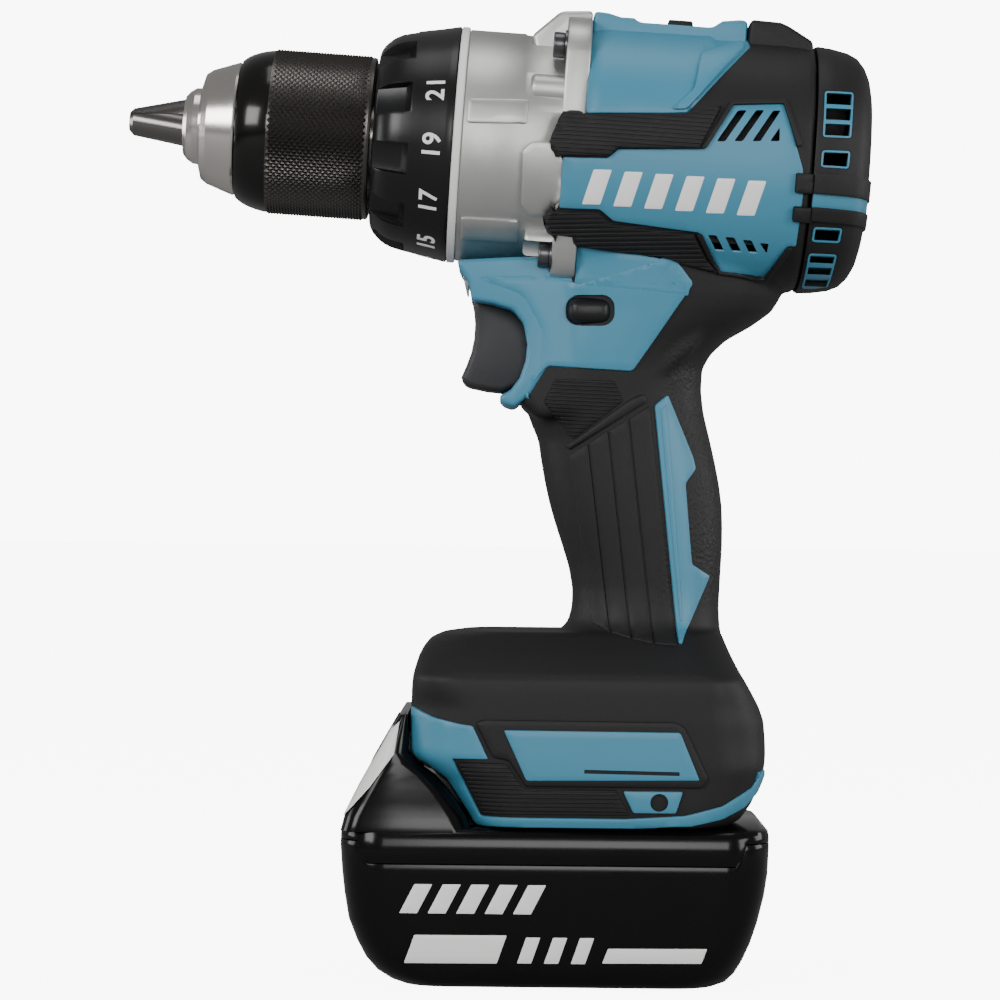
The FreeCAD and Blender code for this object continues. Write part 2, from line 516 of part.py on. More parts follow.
# ---------------------------------------------------------------- motor
def make_motor():
    """Bracket, stator with its coils, rotor with magnets, pinion and fan."""
    on_head(keep(turned("motor_bracket_body", [
        ("bracket_front", "shaft_radius + 3 * edge"), ("bracket_front", "shell_bore_radius"),
        ("bracket_back", "shell_bore_radius"), ("bracket_back", "bracket_hub_radius"),
        ("bracket_hub_back", "bracket_hub_radius"), ("bracket_hub_back", "motor_bearing_radius"),
        ("front_bearing_start", "motor_bearing_radius"), ("front_bearing_start", "shaft_radius + 3 * edge")]),
        "motor_bracket"))
    yoke = turned("stator_yoke_ring", [
        ("stator_front", "stator_radius - stator_yoke"), ("stator_front", "stator_radius"),
        ("stator_back", "stator_radius"), ("stator_back", "stator_radius - stator_yoke")])
    tooth = box("stator_tooth", ("stator_front", "stator_back"),
                ("-stator_tooth_width / 2", "stator_tooth_width / 2"),
                ("stator_bore_radius", "stator_radius - edge"))
    bore = rod("stator_bore", "stator_bore_radius", "stator_back - stator_front + 2 * edge",
               "stator_front - edge")
    core = fuse("stator_fuse", [yoke, ring_of("stator_teeth", tooth, "stator_slot_count")])
    on_head(keep(cut("stator_core_cut", core, [bore]), "stator_core"))
    outer = box("coil_outer", ("stator_front - coil_overhang", "stator_back + coil_overhang"),
                ("-stator_tooth_width / 2 - coil_thickness", "stator_tooth_width / 2 + coil_thickness"),
                ("stator_bore_radius + 4.5 * edge", "stator_radius - stator_yoke - 1.2 * edge"))
    inner = box("coil_inner", ("stator_front - free_gap", "stator_back + free_gap"),
                ("-stator_tooth_width / 2 - free_gap", "stator_tooth_width / 2 + free_gap"),
                ("stator_bore_radius", "stator_radius"))
    on_head(keep(ring_of("coils", cut("coil", outer, [inner]), "stator_slot_count"), "stator_coils"))
    shaft = turned("rotor_shaft_body", [
        ("first_carrier_back + 0.4 * edge", "0"), ("first_carrier_back + 0.4 * edge", "shaft_radius"),
        ("stator_front", "shaft_radius"), ("stator_front", "rotor_radius - magnet_thickness"),
        ("stator_back", "rotor_radius - magnet_thickness"), ("stator_back", "shaft_radius"),
        ("shaft_back", "shaft_radius"), ("shaft_back", "0")])
    pinion = shaped("pinion", gear(int(size("sun_teeth")), 0, size("first_front"), size("first_back")))
    on_head(keep(fuse("rotor_fuse", [shaft, pinion]), "rotor"))
    on_head(keep(turned("rotor_magnet_ring", [
        ("stator_front", "rotor_radius - magnet_thickness"), ("stator_front", "rotor_radius"),
        ("stator_back", "rotor_radius"), ("stator_back", "rotor_radius - magnet_thickness")]),
        "rotor_magnets"))
    plate = turned("fan_plate_ring", [
        ("fan_front", "shaft_radius"), ("fan_front", "fan_radius"), ("fan_front + fan_plate", "fan_radius"),
        ("fan_front + fan_plate", "fan_hub_radius"), ("fan_back", "fan_hub_radius"),
        ("fan_back", "shaft_radius")])
    blade = box("fan_blade", ("fan_front", "fan_back"), ("-0.5 * fan_plate", "0.5 * fan_plate"),
                ("fan_hub_radius - edge", "fan_radius - edge"))
    on_head(keep(fuse("fan_fuse", [plate, ring_of("fan_blades", blade, "fan_blade_count")]), "cooling_fan"))


# ---------------------------------------------------------------- housing
# Grip sections from the top down, as ovals: height, front, back and half width of the outer skin.
GRIP_SECTIONS = [
    (204, -20, 58, 24.0), (192, -14, 59, 22.5), (180, -10.5, 53.5, 20.8), (170, -9.5, 41.4, 20.0),
    (160, -10.0, 39.4, 19.4), (148, -5.8, 42.0, 19.0), (136, -3.8, 44.6, 19.0), (125, -0.9, 45.6, 18.8),
    (116, 2.0, 45.5, 18.6), (107, 4.0, 45.0, 18.4), (99, 3.6, 44.9, 18.8), (91, 0.0, 46.4, 21.5),
    (84, -6.0, 49.5, 27.0),
]

# Side profile of the hollow inside the grip.
GRIP_HOLLOW = [
    (14, 86), (34, 86), (35, 107), (35.4, 125), (32.6, 148), (30, 160), (30, 196), (2, 196), (2, 160),
    (6, 152),
    (11, 136), (13.4, 125), (15.6, 107),
]


def grip_form(name, inset):
    """The body of the grip, inset from its outer skin."""
    wires = []
    for height, front, back, half_width in GRIP_SECTIONS:
        oval = Part.Ellipse(Vector((front + back) / 2, 0, height), (back - front) / 2 - inset,
                            half_width - inset)
        wires.append(Part.Wire(oval.toShape()))
    return shaped(name, Part.makeLoft(wires, True, True))


def rounded_block(name, x, half_width, z, corner):
    """An upright block with its four upright edges rounded."""
    block = box(f"{name}_block", x, (f"-({half_width})", half_width), z)
    doc.recompute()
    upright = [i for i, line in enumerate(block.Shape.Edges, start=1)
               if abs(line.tangentAt(line.FirstParameter).z) > 0.9]
    rounded = doc.addObject("Part::Fillet", name)
    rounded.Base = block
    rounded.Edges = [(i, size(corner), size(corner)) for i in upright]
    return rounded


def base_form(name, inset):
    """The base of the handle: side profile, rounded plan and roof-shaped section, all at once."""
    side = padded(f"{name}_side", [
        (f"base_front + 17.2 * edge + {inset}", "base_bottom"),
        (f"base_front + 10 * edge + {inset}", "base_bottom + 13.3 * edge"),
        (f"base_front + {inset}", "base_bottom + 18.8 * edge"),
        (f"base_front + 0.6 * edge + {inset}", "base_top - 14 * edge"),
        (f"base_front + 4 * edge + {inset}", f"base_top - 4 * edge - {inset}"),
        (f"base_front + 14 * edge + {inset}", f"base_top - 0.6 * edge - {inset}"),
        ("base_front + 60 * edge", f"base_top - {inset}"),
        ("base_back - 11 * edge", f"base_top - 2 * edge - {inset}"),
        (f"base_back - 3 * edge - {inset}", "base_top - 17 * edge"),
        (f"base_back - {inset}", "base_top - 25 * edge"),
        (f"base_back - {inset}", "base_bottom + 2 * edge"),
        (f"base_back - 2 * edge - {inset}", "base_bottom")],
        f"base_half_width + edge - {inset}")
    plan = rounded_block(f"{name}_plan", (f"base_front + {inset}", f"base_back - {inset}"),
                         f"base_half_width - {inset}",
                         ("base_bottom - edge", "base_top + edge"), "base_corner")
    half = f"(base_half_width - {inset})"
    roof = doc.addObject("PartDesign::Body", f"{name}_roof")
    sketch = profile_sketch(roof, "YZ_Plane", [
        (f"-{half}", "base_bottom - edge"), (half, "base_bottom - edge"), (half, "base_top - 22 * edge"),
        (f"{half} - 5 * edge", f"base_top - 11 * edge - {inset}"),
        (f"{half} - 21 * edge", f"base_top - {inset}"), (f"21 * edge - {half}", f"base_top - {inset}"),
        (f"5 * edge - {half}", f"base_top - 11 * edge - {inset}"),
        (f"-{half}", "base_top - 22 * edge")])
    pad = roof.newObject("PartDesign::Pad", f"{name}_roof_pad")
    pad.Profile = sketch
    pad.Midplane = True
    bind(pad, Length="2 * (base_back + 10 * edge)")
    return common(name, [side, plan, roof])


def trigger_frame(name, inset):
    """The flat-sided frame under the gear case that carries the trigger, lamp and reversing lever."""
    return padded(name, [
        (f"-29.4 * edge + {inset}", "197 * edge"), (f"-26.4 * edge + {inset}", "188.4 * edge"),
        (f"-11 * edge + {inset}", "187.4 * edge"), (f"-7.5 * edge + {inset}", "178 * edge"),
        (f"-8.6 * edge + {inset}", "166 * edge"), (f"-13.2 * edge + {inset}", "160.4 * edge"),
        (f"-12.4 * edge + {inset}", "156.6 * edge"), ("-6 * edge", "152 * edge"), ("20 * edge", "158 * edge"),
        (f"36 * edge - {inset}", "172 * edge"), (f"50 * edge - {inset}", "196 * edge"),
        ("40 * edge", "206 * edge"),
        ("-20 * edge", "208 * edge")], f"frame_half_width - {inset}")


def vent_slots():
    """Slanting cooling slots through both sides of the motor tube, in the head's frame."""
    slots = []
    for level, lean in ((18.0, -35.0), (-17.5, 35.0)):
        for k in range(4):
            slot = Part.makeBox(2.6, 90, 11.0 if k < 3 else 6.0, Vector(-1.3, -45, -5.5))
            slot.rotate(Vector(), Y_AXIS, -lean)
            slot.translate(Vector(33 + 5.2 * k, 0, level))
            slots.append(slot)
    return shaped("vent_slots", Part.makeCompound(slots))


def housing_outside():
    """The outside of both housing halves: motor tube, spine, bosses, grip, base and trigger frame."""
    tube = rod("motor_tube", "shell_radius", "shell_back - shell_front", "shell_front")
    spine = padded("selector_spine", [
        ("shell_front", "0"), ("shell_front", "ridge_height"), ("shell_front + 4 * edge", "selector_height"),
        ("selector_slope_front", "selector_height + 0.8 * edge"), ("shell_back - edge", "shell_radius"),
        ("shell_back - edge", "0")], "selector_half_width")
    bosses = [rod(f"boss_{place}", "case_screw_radius + 2.2 * edge", "boss_back - shell_front",
                  "shell_front", y, z)
              for place, y, z in case_screw_places()]
    return fuse("housing_outside", [headed("motor_end", [tube, spine] + bosses),
                                    grip_form("grip_core", size("grip_skin")),
                                    base_form("base_core", "grip_skin"), trigger_frame("frame", "0 * edge")])


def head_rooms():
    """The hollows that the gear case, motor and selector take up in the housing."""
    motor = turned("motor_room", [
        ("shell_front - edge", "0"), ("shell_front - edge", "shell_bore_radius"),
        ("stator_front + 2 * edge", "shell_bore_radius"), ("stator_front + 2 * edge", "stator_radius"),
        ("stator_front + 4 * edge", "stator_radius"), ("stator_front + 4 * edge", "shell_bore_radius"),
        ("stator_back - 4 * edge", "shell_bore_radius"), ("stator_back - 4 * edge", "stator_radius"),
        ("stator_back - 2 * edge", "stator_radius"), ("stator_back - 2 * edge", "shell_bore_radius"),
        ("shell_back + edge", "shell_bore_radius"), ("shell_back + edge", "0")])
    case = rod("case_room", "case_radius + pad_height + free_gap", "shell_front - case_front + 2 * edge",
               "case_front - 2 * edge")
    flange = box("flange_room", ("flange_front - free_gap", "shell_front"),
                 ("-flange_half_width - free_gap", "flange_half_width + free_gap"),
                 ("-flange_half_height - free_gap", "ridge_height + edge"))
    slot = box("selector_slot", ("selector_slot_front", "selector_slot_back"),
               ("-selector_slot_half_width", "selector_slot_half_width"), ("selector_floor", "46 * edge"))
    rooms = [headed(f"{feature.Name}_placed", [feature]) for feature in (motor, case, flange, slot)]
    for place, y, z in case_screw_places():
        hole = rod(f"thread_{place}", "case_screw_radius", "case_screw_length",
                   "flange_front - screw_head_height", y, z)
        way = rod(f"way_{place}", "screw_head_radius + free_gap", "12 * edge", "flange_front - 12 * edge",
                  y, z)
        rooms.append(headed(f"screw_room_{place}", [hole, way]))
    return rooms + [headed("vent_slots_placed", [vent_slots()])]


def handle_rooms():
    """The hollows of the handle and base, and the openings of what is fitted into them."""
    free = "free_gap"
    grip = padded("grip_hollow", [(f"{x} * edge", f"{z} * edge") for x, z in GRIP_HOLLOW],
                  "grip_hollow_half_width")
    board = box("board_room", ("base_front + 10 * edge", "base_back - 10 * edge"),
                ("-33 * edge", "33 * edge"),
                ("bay_top + 1.6 * edge", "base_top - 14 * edge"))
    crown = box("crown_room", ("-24 * edge", "44 * edge"), ("-20 * edge", "20 * edge"),
                ("base_top - 15 * edge", "base_top - 4.5 * edge"))
    opening = box("trigger_opening", ("-34 * edge", "trigger_back + trigger_travel + edge"),
                  (f"-trigger_half_width - {free}", f"trigger_half_width + {free}"),
                  ("trigger_bottom - 0.8 * edge", "trigger_top + 0.8 * edge"))
    bay = box("bay", ("bay_front", "bay_back"), (f"-bay_half_width - {free}", f"bay_half_width + {free}"),
              ("base_bottom - 2 * edge", "bay_top"))
    lips = [box(f"lip_{word}", ("lip_front", "bay_back"), span, ("lip_bottom", "lip_top"))
            for word, span in (("left", ("-bay_half_width - edge", "-lip_half_width")),
                               ("right", ("lip_half_width", "bay_half_width + edge")))]
    terminal_seat = box("terminal_seat", ("blade_front - 2 * edge", "blade_back + 2 * edge"),
                        ("-blade_y - 4 * edge", "blade_y + 4 * edge"),
                        ("bay_top - edge", "bay_top + 2.6 * edge"))
    latch = box("latch_way", ("bay_front", f"latch_back + {free}"),
                (f"-latch_half_width - {free}", f"latch_half_width + {free}"),
                ("bay_top - edge", f"latch_top + {free}"))
    lever = box("lever_way", (f"lever_x - lever_length / 2 - {free}", f"lever_x + lever_length / 2 + {free}"),
                ("-40 * edge", "40 * edge"),
                (f"lever_z - lever_height / 2 - {free}", f"lever_z + lever_height / 2 + {free}"))
    lamp = box("lamp_seat", ("lamp_x - 2 * edge", "lamp_x + lamp_depth"),
               ("-lamp_half_width", "lamp_half_width"),
               ("lamp_z - lamp_height / 2", "lamp_z + lamp_height / 2"))
    nuts = [rod(f"nut_seat_{word}", "hook_nut_radius", "hook_nut_length", "hook_hole_x", start,
                "hook_hole_z", ALONG_Y)
            for word, start in (("left", "-base_half_width + 2 * edge"),
                                ("right", "base_half_width - 2 * edge - hook_nut_length"))]
    mouths = [rod(f"hook_mouth_{word}", "hook_hole_radius", "4 * edge", "hook_hole_x", start, "hook_hole_z",
                  ALONG_Y)
              for word, start in (("left", "-base_half_width - edge"),
                                  ("right", "base_half_width - 3 * edge"))]
    rooms = [grip, trigger_frame("frame_hollow", "wall"), board, crown, opening,
             cut("battery_bay", bay, lips), terminal_seat, latch, lever, lamp]
    return rooms + nuts + mouths


def housing_screws():
    """Screws that pull the housing halves together, with the posts that they pass through."""
    posts, screws, holes = [], [], []
    for k, (x, z, half) in enumerate(((32, 150, 11), (20, 138, 13), (20, 104, 13), (34, 112, 12),
                                      (-24, 72, 34), (42, 72, 34))):
        posts.append(rod(f"post_{k + 1}", "3.8 * edge", f"{2 * half} * edge", f"{x} * edge",
                         f"-{half} * edge",
                         f"{z} * edge", ALONG_Y))
        holes.append(rod(f"post_hole_{k + 1}", "1.6 * edge", f"{2 * half - 4} * edge", f"{x} * edge",
                         f"-{half - 4} * edge", f"{z} * edge", ALONG_Y))
        shank = rod(f"half_screw_shank_{k + 1}", "1.6 * edge", f"{2 * half - 4} * edge", f"{x} * edge",
                    f"-{half - 4} * edge", f"{z} * edge", ALONG_Y)
        head = rod(f"half_screw_head_{k + 1}", "3.2 * edge", "1.8 * edge", f"{x} * edge",
                   f"{half - 1.8} * edge",
                   f"{z} * edge", ALONG_Y)
        holes.append(rod(f"post_sink_{k + 1}", "3.2 * edge", "9 * edge", f"{x} * edge",
                         f"{half - 1.8} * edge",
                         f"{z} * edge", ALONG_Y))
        screws.append(fuse(f"half_screw_{k + 1}", [shank, head]))
    return posts, holes, screws


def side_block(name, side):
    """A block that holds everything on one side of the middle plane."""
    y = ("-60 * edge", "0 * edge") if side < 0 else ("0 * edge", "60 * edge")
    return box(name, ("-80 * edge", "100 * edge"), y, ("20 * edge", "290 * edge"))


def make_housing():
    """Left and right clamshell halves, with the soft overmould on the outside of each."""
    posts, holes, screws = housing_screws()
    shell = cut("housing_hollowed", housing_outside(), head_rooms() + handle_rooms())
    inner_posts = common("inner_posts", [fuse("all_posts", posts), fuse("post_limits", [
        grip_form("post_limit", size("grip_skin") + 0.5),
        base_form("post_limit_base", "grip_skin + 0.5 * edge")])])
    whole = cut("housing_whole", fuse("housing_with_posts", [shell, inner_posts]), holes)
    for side, word in ((-1, "left"), (1, "right")):
        keep(common(f"{word}_half", [whole, side_block(f"{word}_space", side)]), f"housing_{word}")
    keep(group("half_screw_group", screws), "housing_screws")
    outside = fuse("skin_outside", [grip_form("skin_grip", 0.0), base_form("skin_base", "0 * edge")])
    inside = fuse("skin_inside", [grip_form("skin_grip_core", size("grip_skin")),
                                  base_form("skin_base_core", "grip_skin")])
    band = box("skin_band", ("-60 * edge", "80 * edge"), ("-50 * edge", "50 * edge"),
               ("62.6 * edge", "151 * edge"))
    skin = common("skin", [cut("skin_shell", outside, [inside]), band])
    for side, word in ((-1, "left"), (1, "right")):
        keep(common(f"{word}_skin", [skin, side_block(f"{word}_skin_space", side)]), f"overmould_{word}")


def make_rear_cover():
    """The cover behind the motor, with vents, a bearing hub and its screws."""
    shell = turned("cap_turning", [
        ("cap_front", "cap_radius - wall"), ("cap_front", "cap_radius"),
        ("cap_shoulder", "cap_radius - edge"),
        ("cap_back - 2.4 * edge", "cap_crown_radius"), ("cap_back", "cap_back_radius"), ("cap_back", "0"),
        ("cap_back - wall", "0"), ("cap_back - wall", "motor_bearing_radius - edge"),
        ("rear_bearing_start + motor_bearing_width", "motor_bearing_radius - edge"),
        ("rear_bearing_start + motor_bearing_width", "motor_bearing_radius"),
        ("rear_bearing_start", "motor_bearing_radius"), ("rear_bearing_start", "cap_hub_radius"),
        ("cap_back - wall", "cap_hub_radius"), ("cap_back - wall", "cap_back_radius - edge"),
        ("cap_shoulder - edge", "cap_radius - wall - edge")])
    vents, posts, holes, screws = [], [], [], []
    for k, z in enumerate(("-24", "-19", "-14", "14", "19", "24")):
        vents.append(box(f"cap_vent_{k + 1}", ("cap_front + 3 * edge", "cap_shoulder"),
                         ("-60 * edge", "60 * edge"),
                         (f"{z} * edge - 1.1 * edge", f"{z} * edge + 1.1 * edge")))
    for k, (y, z) in enumerate(((0.25, 0.968), (-0.25, 0.968), (0.25, -0.968), (-0.25, -0.968))):
        y, z = f"({y}) * cap_screw_reach", f"({z}) * cap_screw_reach"
        posts.append(rod(f"cap_post_{k + 1}", "4 * edge", "cap_back - wall - cap_front + edge", "cap_front",
                         y, z))
        holes.append(rod(f"cap_hole_{k + 1}", "1.7 * edge", "20 * edge", "cap_front - edge", y, z))
        holes.append(rod(f"cap_sink_{k + 1}", "3.3 * edge", "9 * edge", "cap_back - 7 * edge", y, z))
        shank = rod(f"cap_shank_{k + 1}", "1.7 * edge", "12 * edge", "cap_back - 17 * edge", y, z)
        head = rod(f"cap_head_{k + 1}", "3.2 * edge", "2 * edge", "cap_back - 7 * edge", y, z)
        screws.append(fuse(f"cap_screw_{k + 1}", [shank, head]))
    cap = cut("cap_cut", fuse("cap_fuse", [cut("cap_vented", shell, vents)] + posts), holes)
    on_head(keep(cap, "rear_cover"))
    on_head(keep(group("cap_screw_group", screws), "rear_cover_screws"))


# ---------------------------------------------------------------- controls and electrics
def make_controls():
    """Trigger, switch, reversing lever, gear selector, lamp, controller, terminals and hook nuts."""
    blade = padded("trigger_side", [
        ("trigger_front + 2 * edge", "trigger_top"), ("trigger_front + 3.4 * edge", "trigger_top - 8 * edge"),
        ("trigger_front + 2.4 * edge", "trigger_top - 15 * edge"),
        ("trigger_front", "trigger_bottom + 2.6 * edge"),
        ("trigger_front + 2.4 * edge", "trigger_bottom"), ("trigger_back", "trigger_bottom"),
        ("trigger_back", "trigger_top")], "trigger_half_width")
    stem = rod("trigger_stem", "stem_radius", "stem_back - trigger_back + edge", "trigger_back - edge",
               "0 * edge", "stem_z")
    keep(fuse("trigger_fuse", [blade, stem]), "trigger")
    block = box("switch_block", ("switch_front", "switch_back"), ("-switch_half_width", "switch_half_width"),
                ("switch_bottom", "switch_top"))
    way = rod("stem_way", "stem_radius + free_gap", "10 * edge", "switch_front - edge", "0 * edge", "stem_z")
    keep(cut("switch_cut", block, [way]), "trigger_switch")
    keep(box("lever_bar", ("lever_x - lever_length / 2", "lever_x + lever_length / 2"),
             ("-lever_half_width", "lever_half_width"),
             ("lever_z - lever_height / 2", "lever_z + lever_height / 2")),
         "direction_lever")
    middle = "(knob_front + knob_length / 2)"
    slider = box("slider_plate", (f"{middle} - slider_length / 2", f"{middle} + slider_length / 2"),
                 ("-slider_half_width", "slider_half_width"),
                 ("selector_floor + running_gap", "selector_floor + running_gap + slider_thickness"))
    knob = box("knob", ("knob_front", "knob_front + knob_length"), ("-knob_half_width", "knob_half_width"),
               ("selector_floor + edge", "knob_height"))
    on_head(keep(fuse("selector_fuse", [slider, knob]), "speed_selector"))
    keep(box("lamp_lens", ("lamp_x", "lamp_x + lamp_depth"), ("-lamp_half_width", "lamp_half_width"),
             ("lamp_z - lamp_height / 2", "lamp_z + lamp_height / 2")), "work_light")
    keep(box("controller", ("-18 * edge", "36 * edge"), ("-board_half_width", "board_half_width"),
             ("bay_top + 1.6 * edge", "board_top")), "controller_board")
    plug = box("terminal_plug", ("blade_front - 2 * edge", "blade_back + 2 * edge"),
               ("-blade_y - 4 * edge", "blade_y + 4 * edge"),
               ("bay_top", "bay_top + 1.6 * edge"))
    blades = [box(f"blade_{k}", ("blade_front", "blade_back"),
                  (f"({k}) * blade_y - blade_slot / 2", f"({k}) * blade_y + blade_slot / 2"),
                  ("blade_bottom", "bay_top")) for k in (-1, 0, 1)]
    keep(fuse("terminal_fuse", [plug] + blades), "tool_terminals")
    nuts = []
    for word, start in (("left", "-base_half_width + 2 * edge"),
                        ("right", "base_half_width - 2 * edge - hook_nut_length")):
        barrel = rod(f"nut_{word}", "hook_nut_radius", "hook_nut_length", "hook_hole_x", start,
                     "hook_hole_z", ALONG_Y)
        bore = rod(f"nut_bore_{word}", "hook_nut_bore_radius", "hook_nut_length + 2 * edge", "hook_hole_x",
                   f"{start} - edge", "hook_hole_z", ALONG_Y)
        nuts.append(cut(f"hook_nut_{word}", barrel, [bore]))
    keep(group("hook_nut_group", nuts), "hook_nuts")


# ---------------------------------------------------------------- battery
def battery_hump(name, inset):
    """The raised front of the battery with its sloping face."""
    return padded(name, [
        (f"battery_front + {inset}", "tray_top + edge"), (f"battery_front + {inset}", "lid_top"),
        (f"battery_front + 16 * edge - 0.5 * {inset}", f"hump_top - 3.1 * {inset}"),
        (f"-40.2 * edge - {inset}", f"hump_top - 1.4 * edge - 3.1 * {inset}"),
        (f"-40.2 * edge - {inset}", "61 * edge"), (f"-30.6 * edge - {inset}", "56.6 * edge"),
        (f"-23 * edge - {inset}", "lid_top"), (f"-23 * edge - {inset}", "tray_top + edge")],
        f"hump_half_width - {inset}")


def make_battery():
    """Tray, lid with hump and rail tower, cells with their straps, gauge, release button and terminals."""
    span = ("battery_front", "battery_back")
    tray = rounded_block("tray_outside", span, "battery_half_width", ("0 * edge", "tray_top - 0.15 * edge"),
                         "tray_corner")
    tray_room = rounded_block("tray_inside", ("battery_front + case_wall", "battery_back - case_wall"),
                              "battery_half_width - case_wall", ("case_wall", "tray_top + edge"),
                              "tray_corner")
    keep(cut("tray_cut", tray, [tray_room]), "battery_tray")
    lid = rounded_block("lid_outside", span, "battery_half_width", ("tray_top", "lid_top"), "tray_corner")
    lid_room = rounded_block("lid_inside", ("battery_front + case_wall", "battery_back - case_wall"),
                             "battery_half_width - case_wall", ("tray_top - edge", "lid_top - case_wall"),
                             "tray_corner")
    tower = box("tower", ("tower_front", "tower_back"), ("-tower_half_width", "tower_half_width"),
                ("lid_top - edge", "tower_top"))
    rails = [box(f"rail_{word}", ("lip_front - 3 * edge", "tower_back + edge"), y,
                 ("lip_bottom - 0.4 * edge", "lip_top + 0.4 * edge"))
             for word, y in (("left", ("-tower_half_width - edge", "-tower_waist")),
                             ("right", ("tower_waist", "tower_half_width + edge")))]
    tower_room = box("tower_room", ("-20 * edge", "tower_back - 2 * edge"), ("-20 * edge", "20 * edge"),
                     ("lid_top - 4 * edge", "blade_bottom - 2.4 * edge"))
    slots = [box(f"slot_{k}", ("blade_front - edge", "tower_back + edge"),
                 (f"({k}) * blade_y - blade_slot", f"({k}) * blade_y + blade_slot"),
                 ("blade_bottom - edge", "tower_top + edge"))
             for k in (-1, 0, 1)]
    free = "free_gap"
    button_way = box("button_way", ("battery_front - edge", "-43 * edge"),
                     (f"-button_half_width - {free}", f"button_half_width + {free}"),
                     ("54 * edge", "hump_top + edge"))
    hump_room = battery_hump("hump_room", "case_wall")
    latch_way = box("battery_latch_way", ("-44 * edge", f"latch_back + {free}"),
                    (f"-latch_half_width - {free}", f"latch_half_width + {free}"),
                    ("52 * edge", "tower_top + 2 * edge"))
    solid = fuse("lid_solid", [lid, battery_hump("hump", "0 * edge"), tower])
    keep(cut("lid_cut", solid, rails + [lid_room, tower_room, hump_room, button_way, latch_way] + slots),
         "battery_lid")
    button = common("button_form", [battery_hump("button_slope", "free_gap"), box(
        "button_block", ("battery_front", "-43.6 * edge"), ("-button_half_width", "button_half_width"),
        ("58.4 * edge", "hump_top"))])
    tongue = box("latch_tongue", ("-46 * edge", "latch_back"), ("-latch_half_width", "latch_half_width"),
                 ("56.6 * edge", "59.4 * edge"))
    tooth = box("latch_tooth", ("latch_front", "latch_back"), ("-latch_half_width", "latch_half_width"),
                ("57 * edge", "latch_top"))
    keep(fuse("button_fuse", [button, tongue, tooth]), "release_button")
    cells = []
    for i in range(int(size("cell_rows"))):
        for level in (0, 1):
            place = f"{i - (size('cell_rows') - 1) / 2} * cell_pitch"
            cells.append(rod(f"cell_{2 * i + level + 1}", "cell_radius", "cell_length", place,
                             "-cell_length / 2",
                             f"cell_bottom + cell_radius + {level} * cell_pitch", ALONG_Y))
    keep(group("cell_group", cells), "battery_cells")
    straps = [box(f"strap_{k + 1}", ("-2 * cell_pitch - 4 * edge", "2 * cell_pitch + 4 * edge"), y,
                  (f"cell_bottom + cell_radius - 4 * edge + {level} * cell_pitch",
                   f"cell_bottom + cell_radius + 4 * edge + {level} * cell_pitch"))
              for k, (y, level) in enumerate(((("-cell_length / 2 - strap_thickness", "-cell_length / 2"), 0),
                                              (("-cell_length / 2 - strap_thickness", "-cell_length / 2"), 1),
                                              (("cell_length / 2", "cell_length / 2 + strap_thickness"), 0),
                                              (("cell_length / 2", "cell_length / 2 + strap_thickness"), 1)))]
    keep(group("strap_group", straps), "cell_straps")
    clips = [box(f"clip_{k}{j}", ("blade_front + 4 * edge", "blade_back - 4 * edge"),
                 (f"({k}) * blade_y + ({j}) * 0.75 * edge - 0.2 * edge",
                  f"({k}) * blade_y + ({j}) * 0.75 * edge + 0.2 * edge"),
                 ("blade_bottom - edge", "tower_top - 3 * edge")) for k in (-1, 0, 1) for j in (-1, 1)]
    keep(group("clip_group", clips), "battery_clips")
    fascia = [padded(f"fascia_{word}", [
        ("-42.9 * edge", "69.6 * edge"), ("-44.2 * edge", "60.2 * edge"), ("-56.6 * edge", "45 * edge"),
        ("-56.8 * edge", "46.4 * edge")], "edge") for word in ("left", "right")]
    for feature, word in zip(fascia, (-1, 1)):
        bind(feature, Placement__Base__y=f"({word}) * (hump_half_width + edge)")
    keep(group("fascia_group", fascia), "battery_fascia")


# ---------------------------------------------------------------- build, check and write
def write_parts():
    """Recomputes, checks every object and sub-part, and writes one file for each sub-part."""
    doc.recompute()
    broken = [item.Name for item in doc.Objects if "Invalid" in item.State or "Error" in item.State]
    unsound = [item.Label for item in sub_parts
               if item.Shape.isNull() or not item.Shape.isValid() or not item.Shape.Solids]
    if broken or unsound:
        raise RuntimeError(f"broken objects: {broken}; unsound sub-parts: {unsound}")
    os.makedirs("parts", exist_ok=True)
    for item in sub_parts:
        item.Shape.exportStep(os.path.join("parts", f"{item.Label}.step"))
        print(f"{item.Label}: {len(item.Shape.Solids)} solids, {item.Shape.Volume / 1000:.2f} cm3")


make_chuck()
make_gear_train()
make_cams_and_bearings()
make_torque_ring()
make_gear_case()
make_motor()
make_housing()
make_rear_cover()
make_controls()
make_battery()
write_parts()
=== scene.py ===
"""Looks of a cordless hammer drill: soft-grip body, knurled chuck, numbered ring, cast gear case and battery.

Sizes are in millimetres until a mesh is made. The head (chuck, gear case, motor) is modelled about its own
axis, tilted nose-up: a runs rearwards along the axis, y to the right side and z up.
"""

import json
import logging
import math
from dataclasses import dataclass
from enum import Enum
from typing import Callable, Iterable, Optional, Sequence

import bpy
import bmesh
from mathutils import Matrix, Vector
from mathutils.bvhtree import BVHTree
from mathutils.geometry import delaunay_2d_cdt


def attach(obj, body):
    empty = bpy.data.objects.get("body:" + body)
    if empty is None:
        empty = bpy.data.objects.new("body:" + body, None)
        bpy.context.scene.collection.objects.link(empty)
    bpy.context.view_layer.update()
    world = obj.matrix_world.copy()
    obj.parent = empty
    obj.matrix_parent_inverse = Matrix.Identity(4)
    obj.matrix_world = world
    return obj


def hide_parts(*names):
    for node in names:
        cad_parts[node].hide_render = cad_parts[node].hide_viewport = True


LOG = logging.getLogger("drill")
MM = 0.001
Outline = Sequence[tuple[float, float]]


class Frame(Enum):
    """The two frames that pieces are drawn in."""

    TOOL = "tool"
    HEAD = "head"


class Side(Enum):
    """Sides of the tool, by the sign of Y."""

    LEFT = -1
    RIGHT = 1


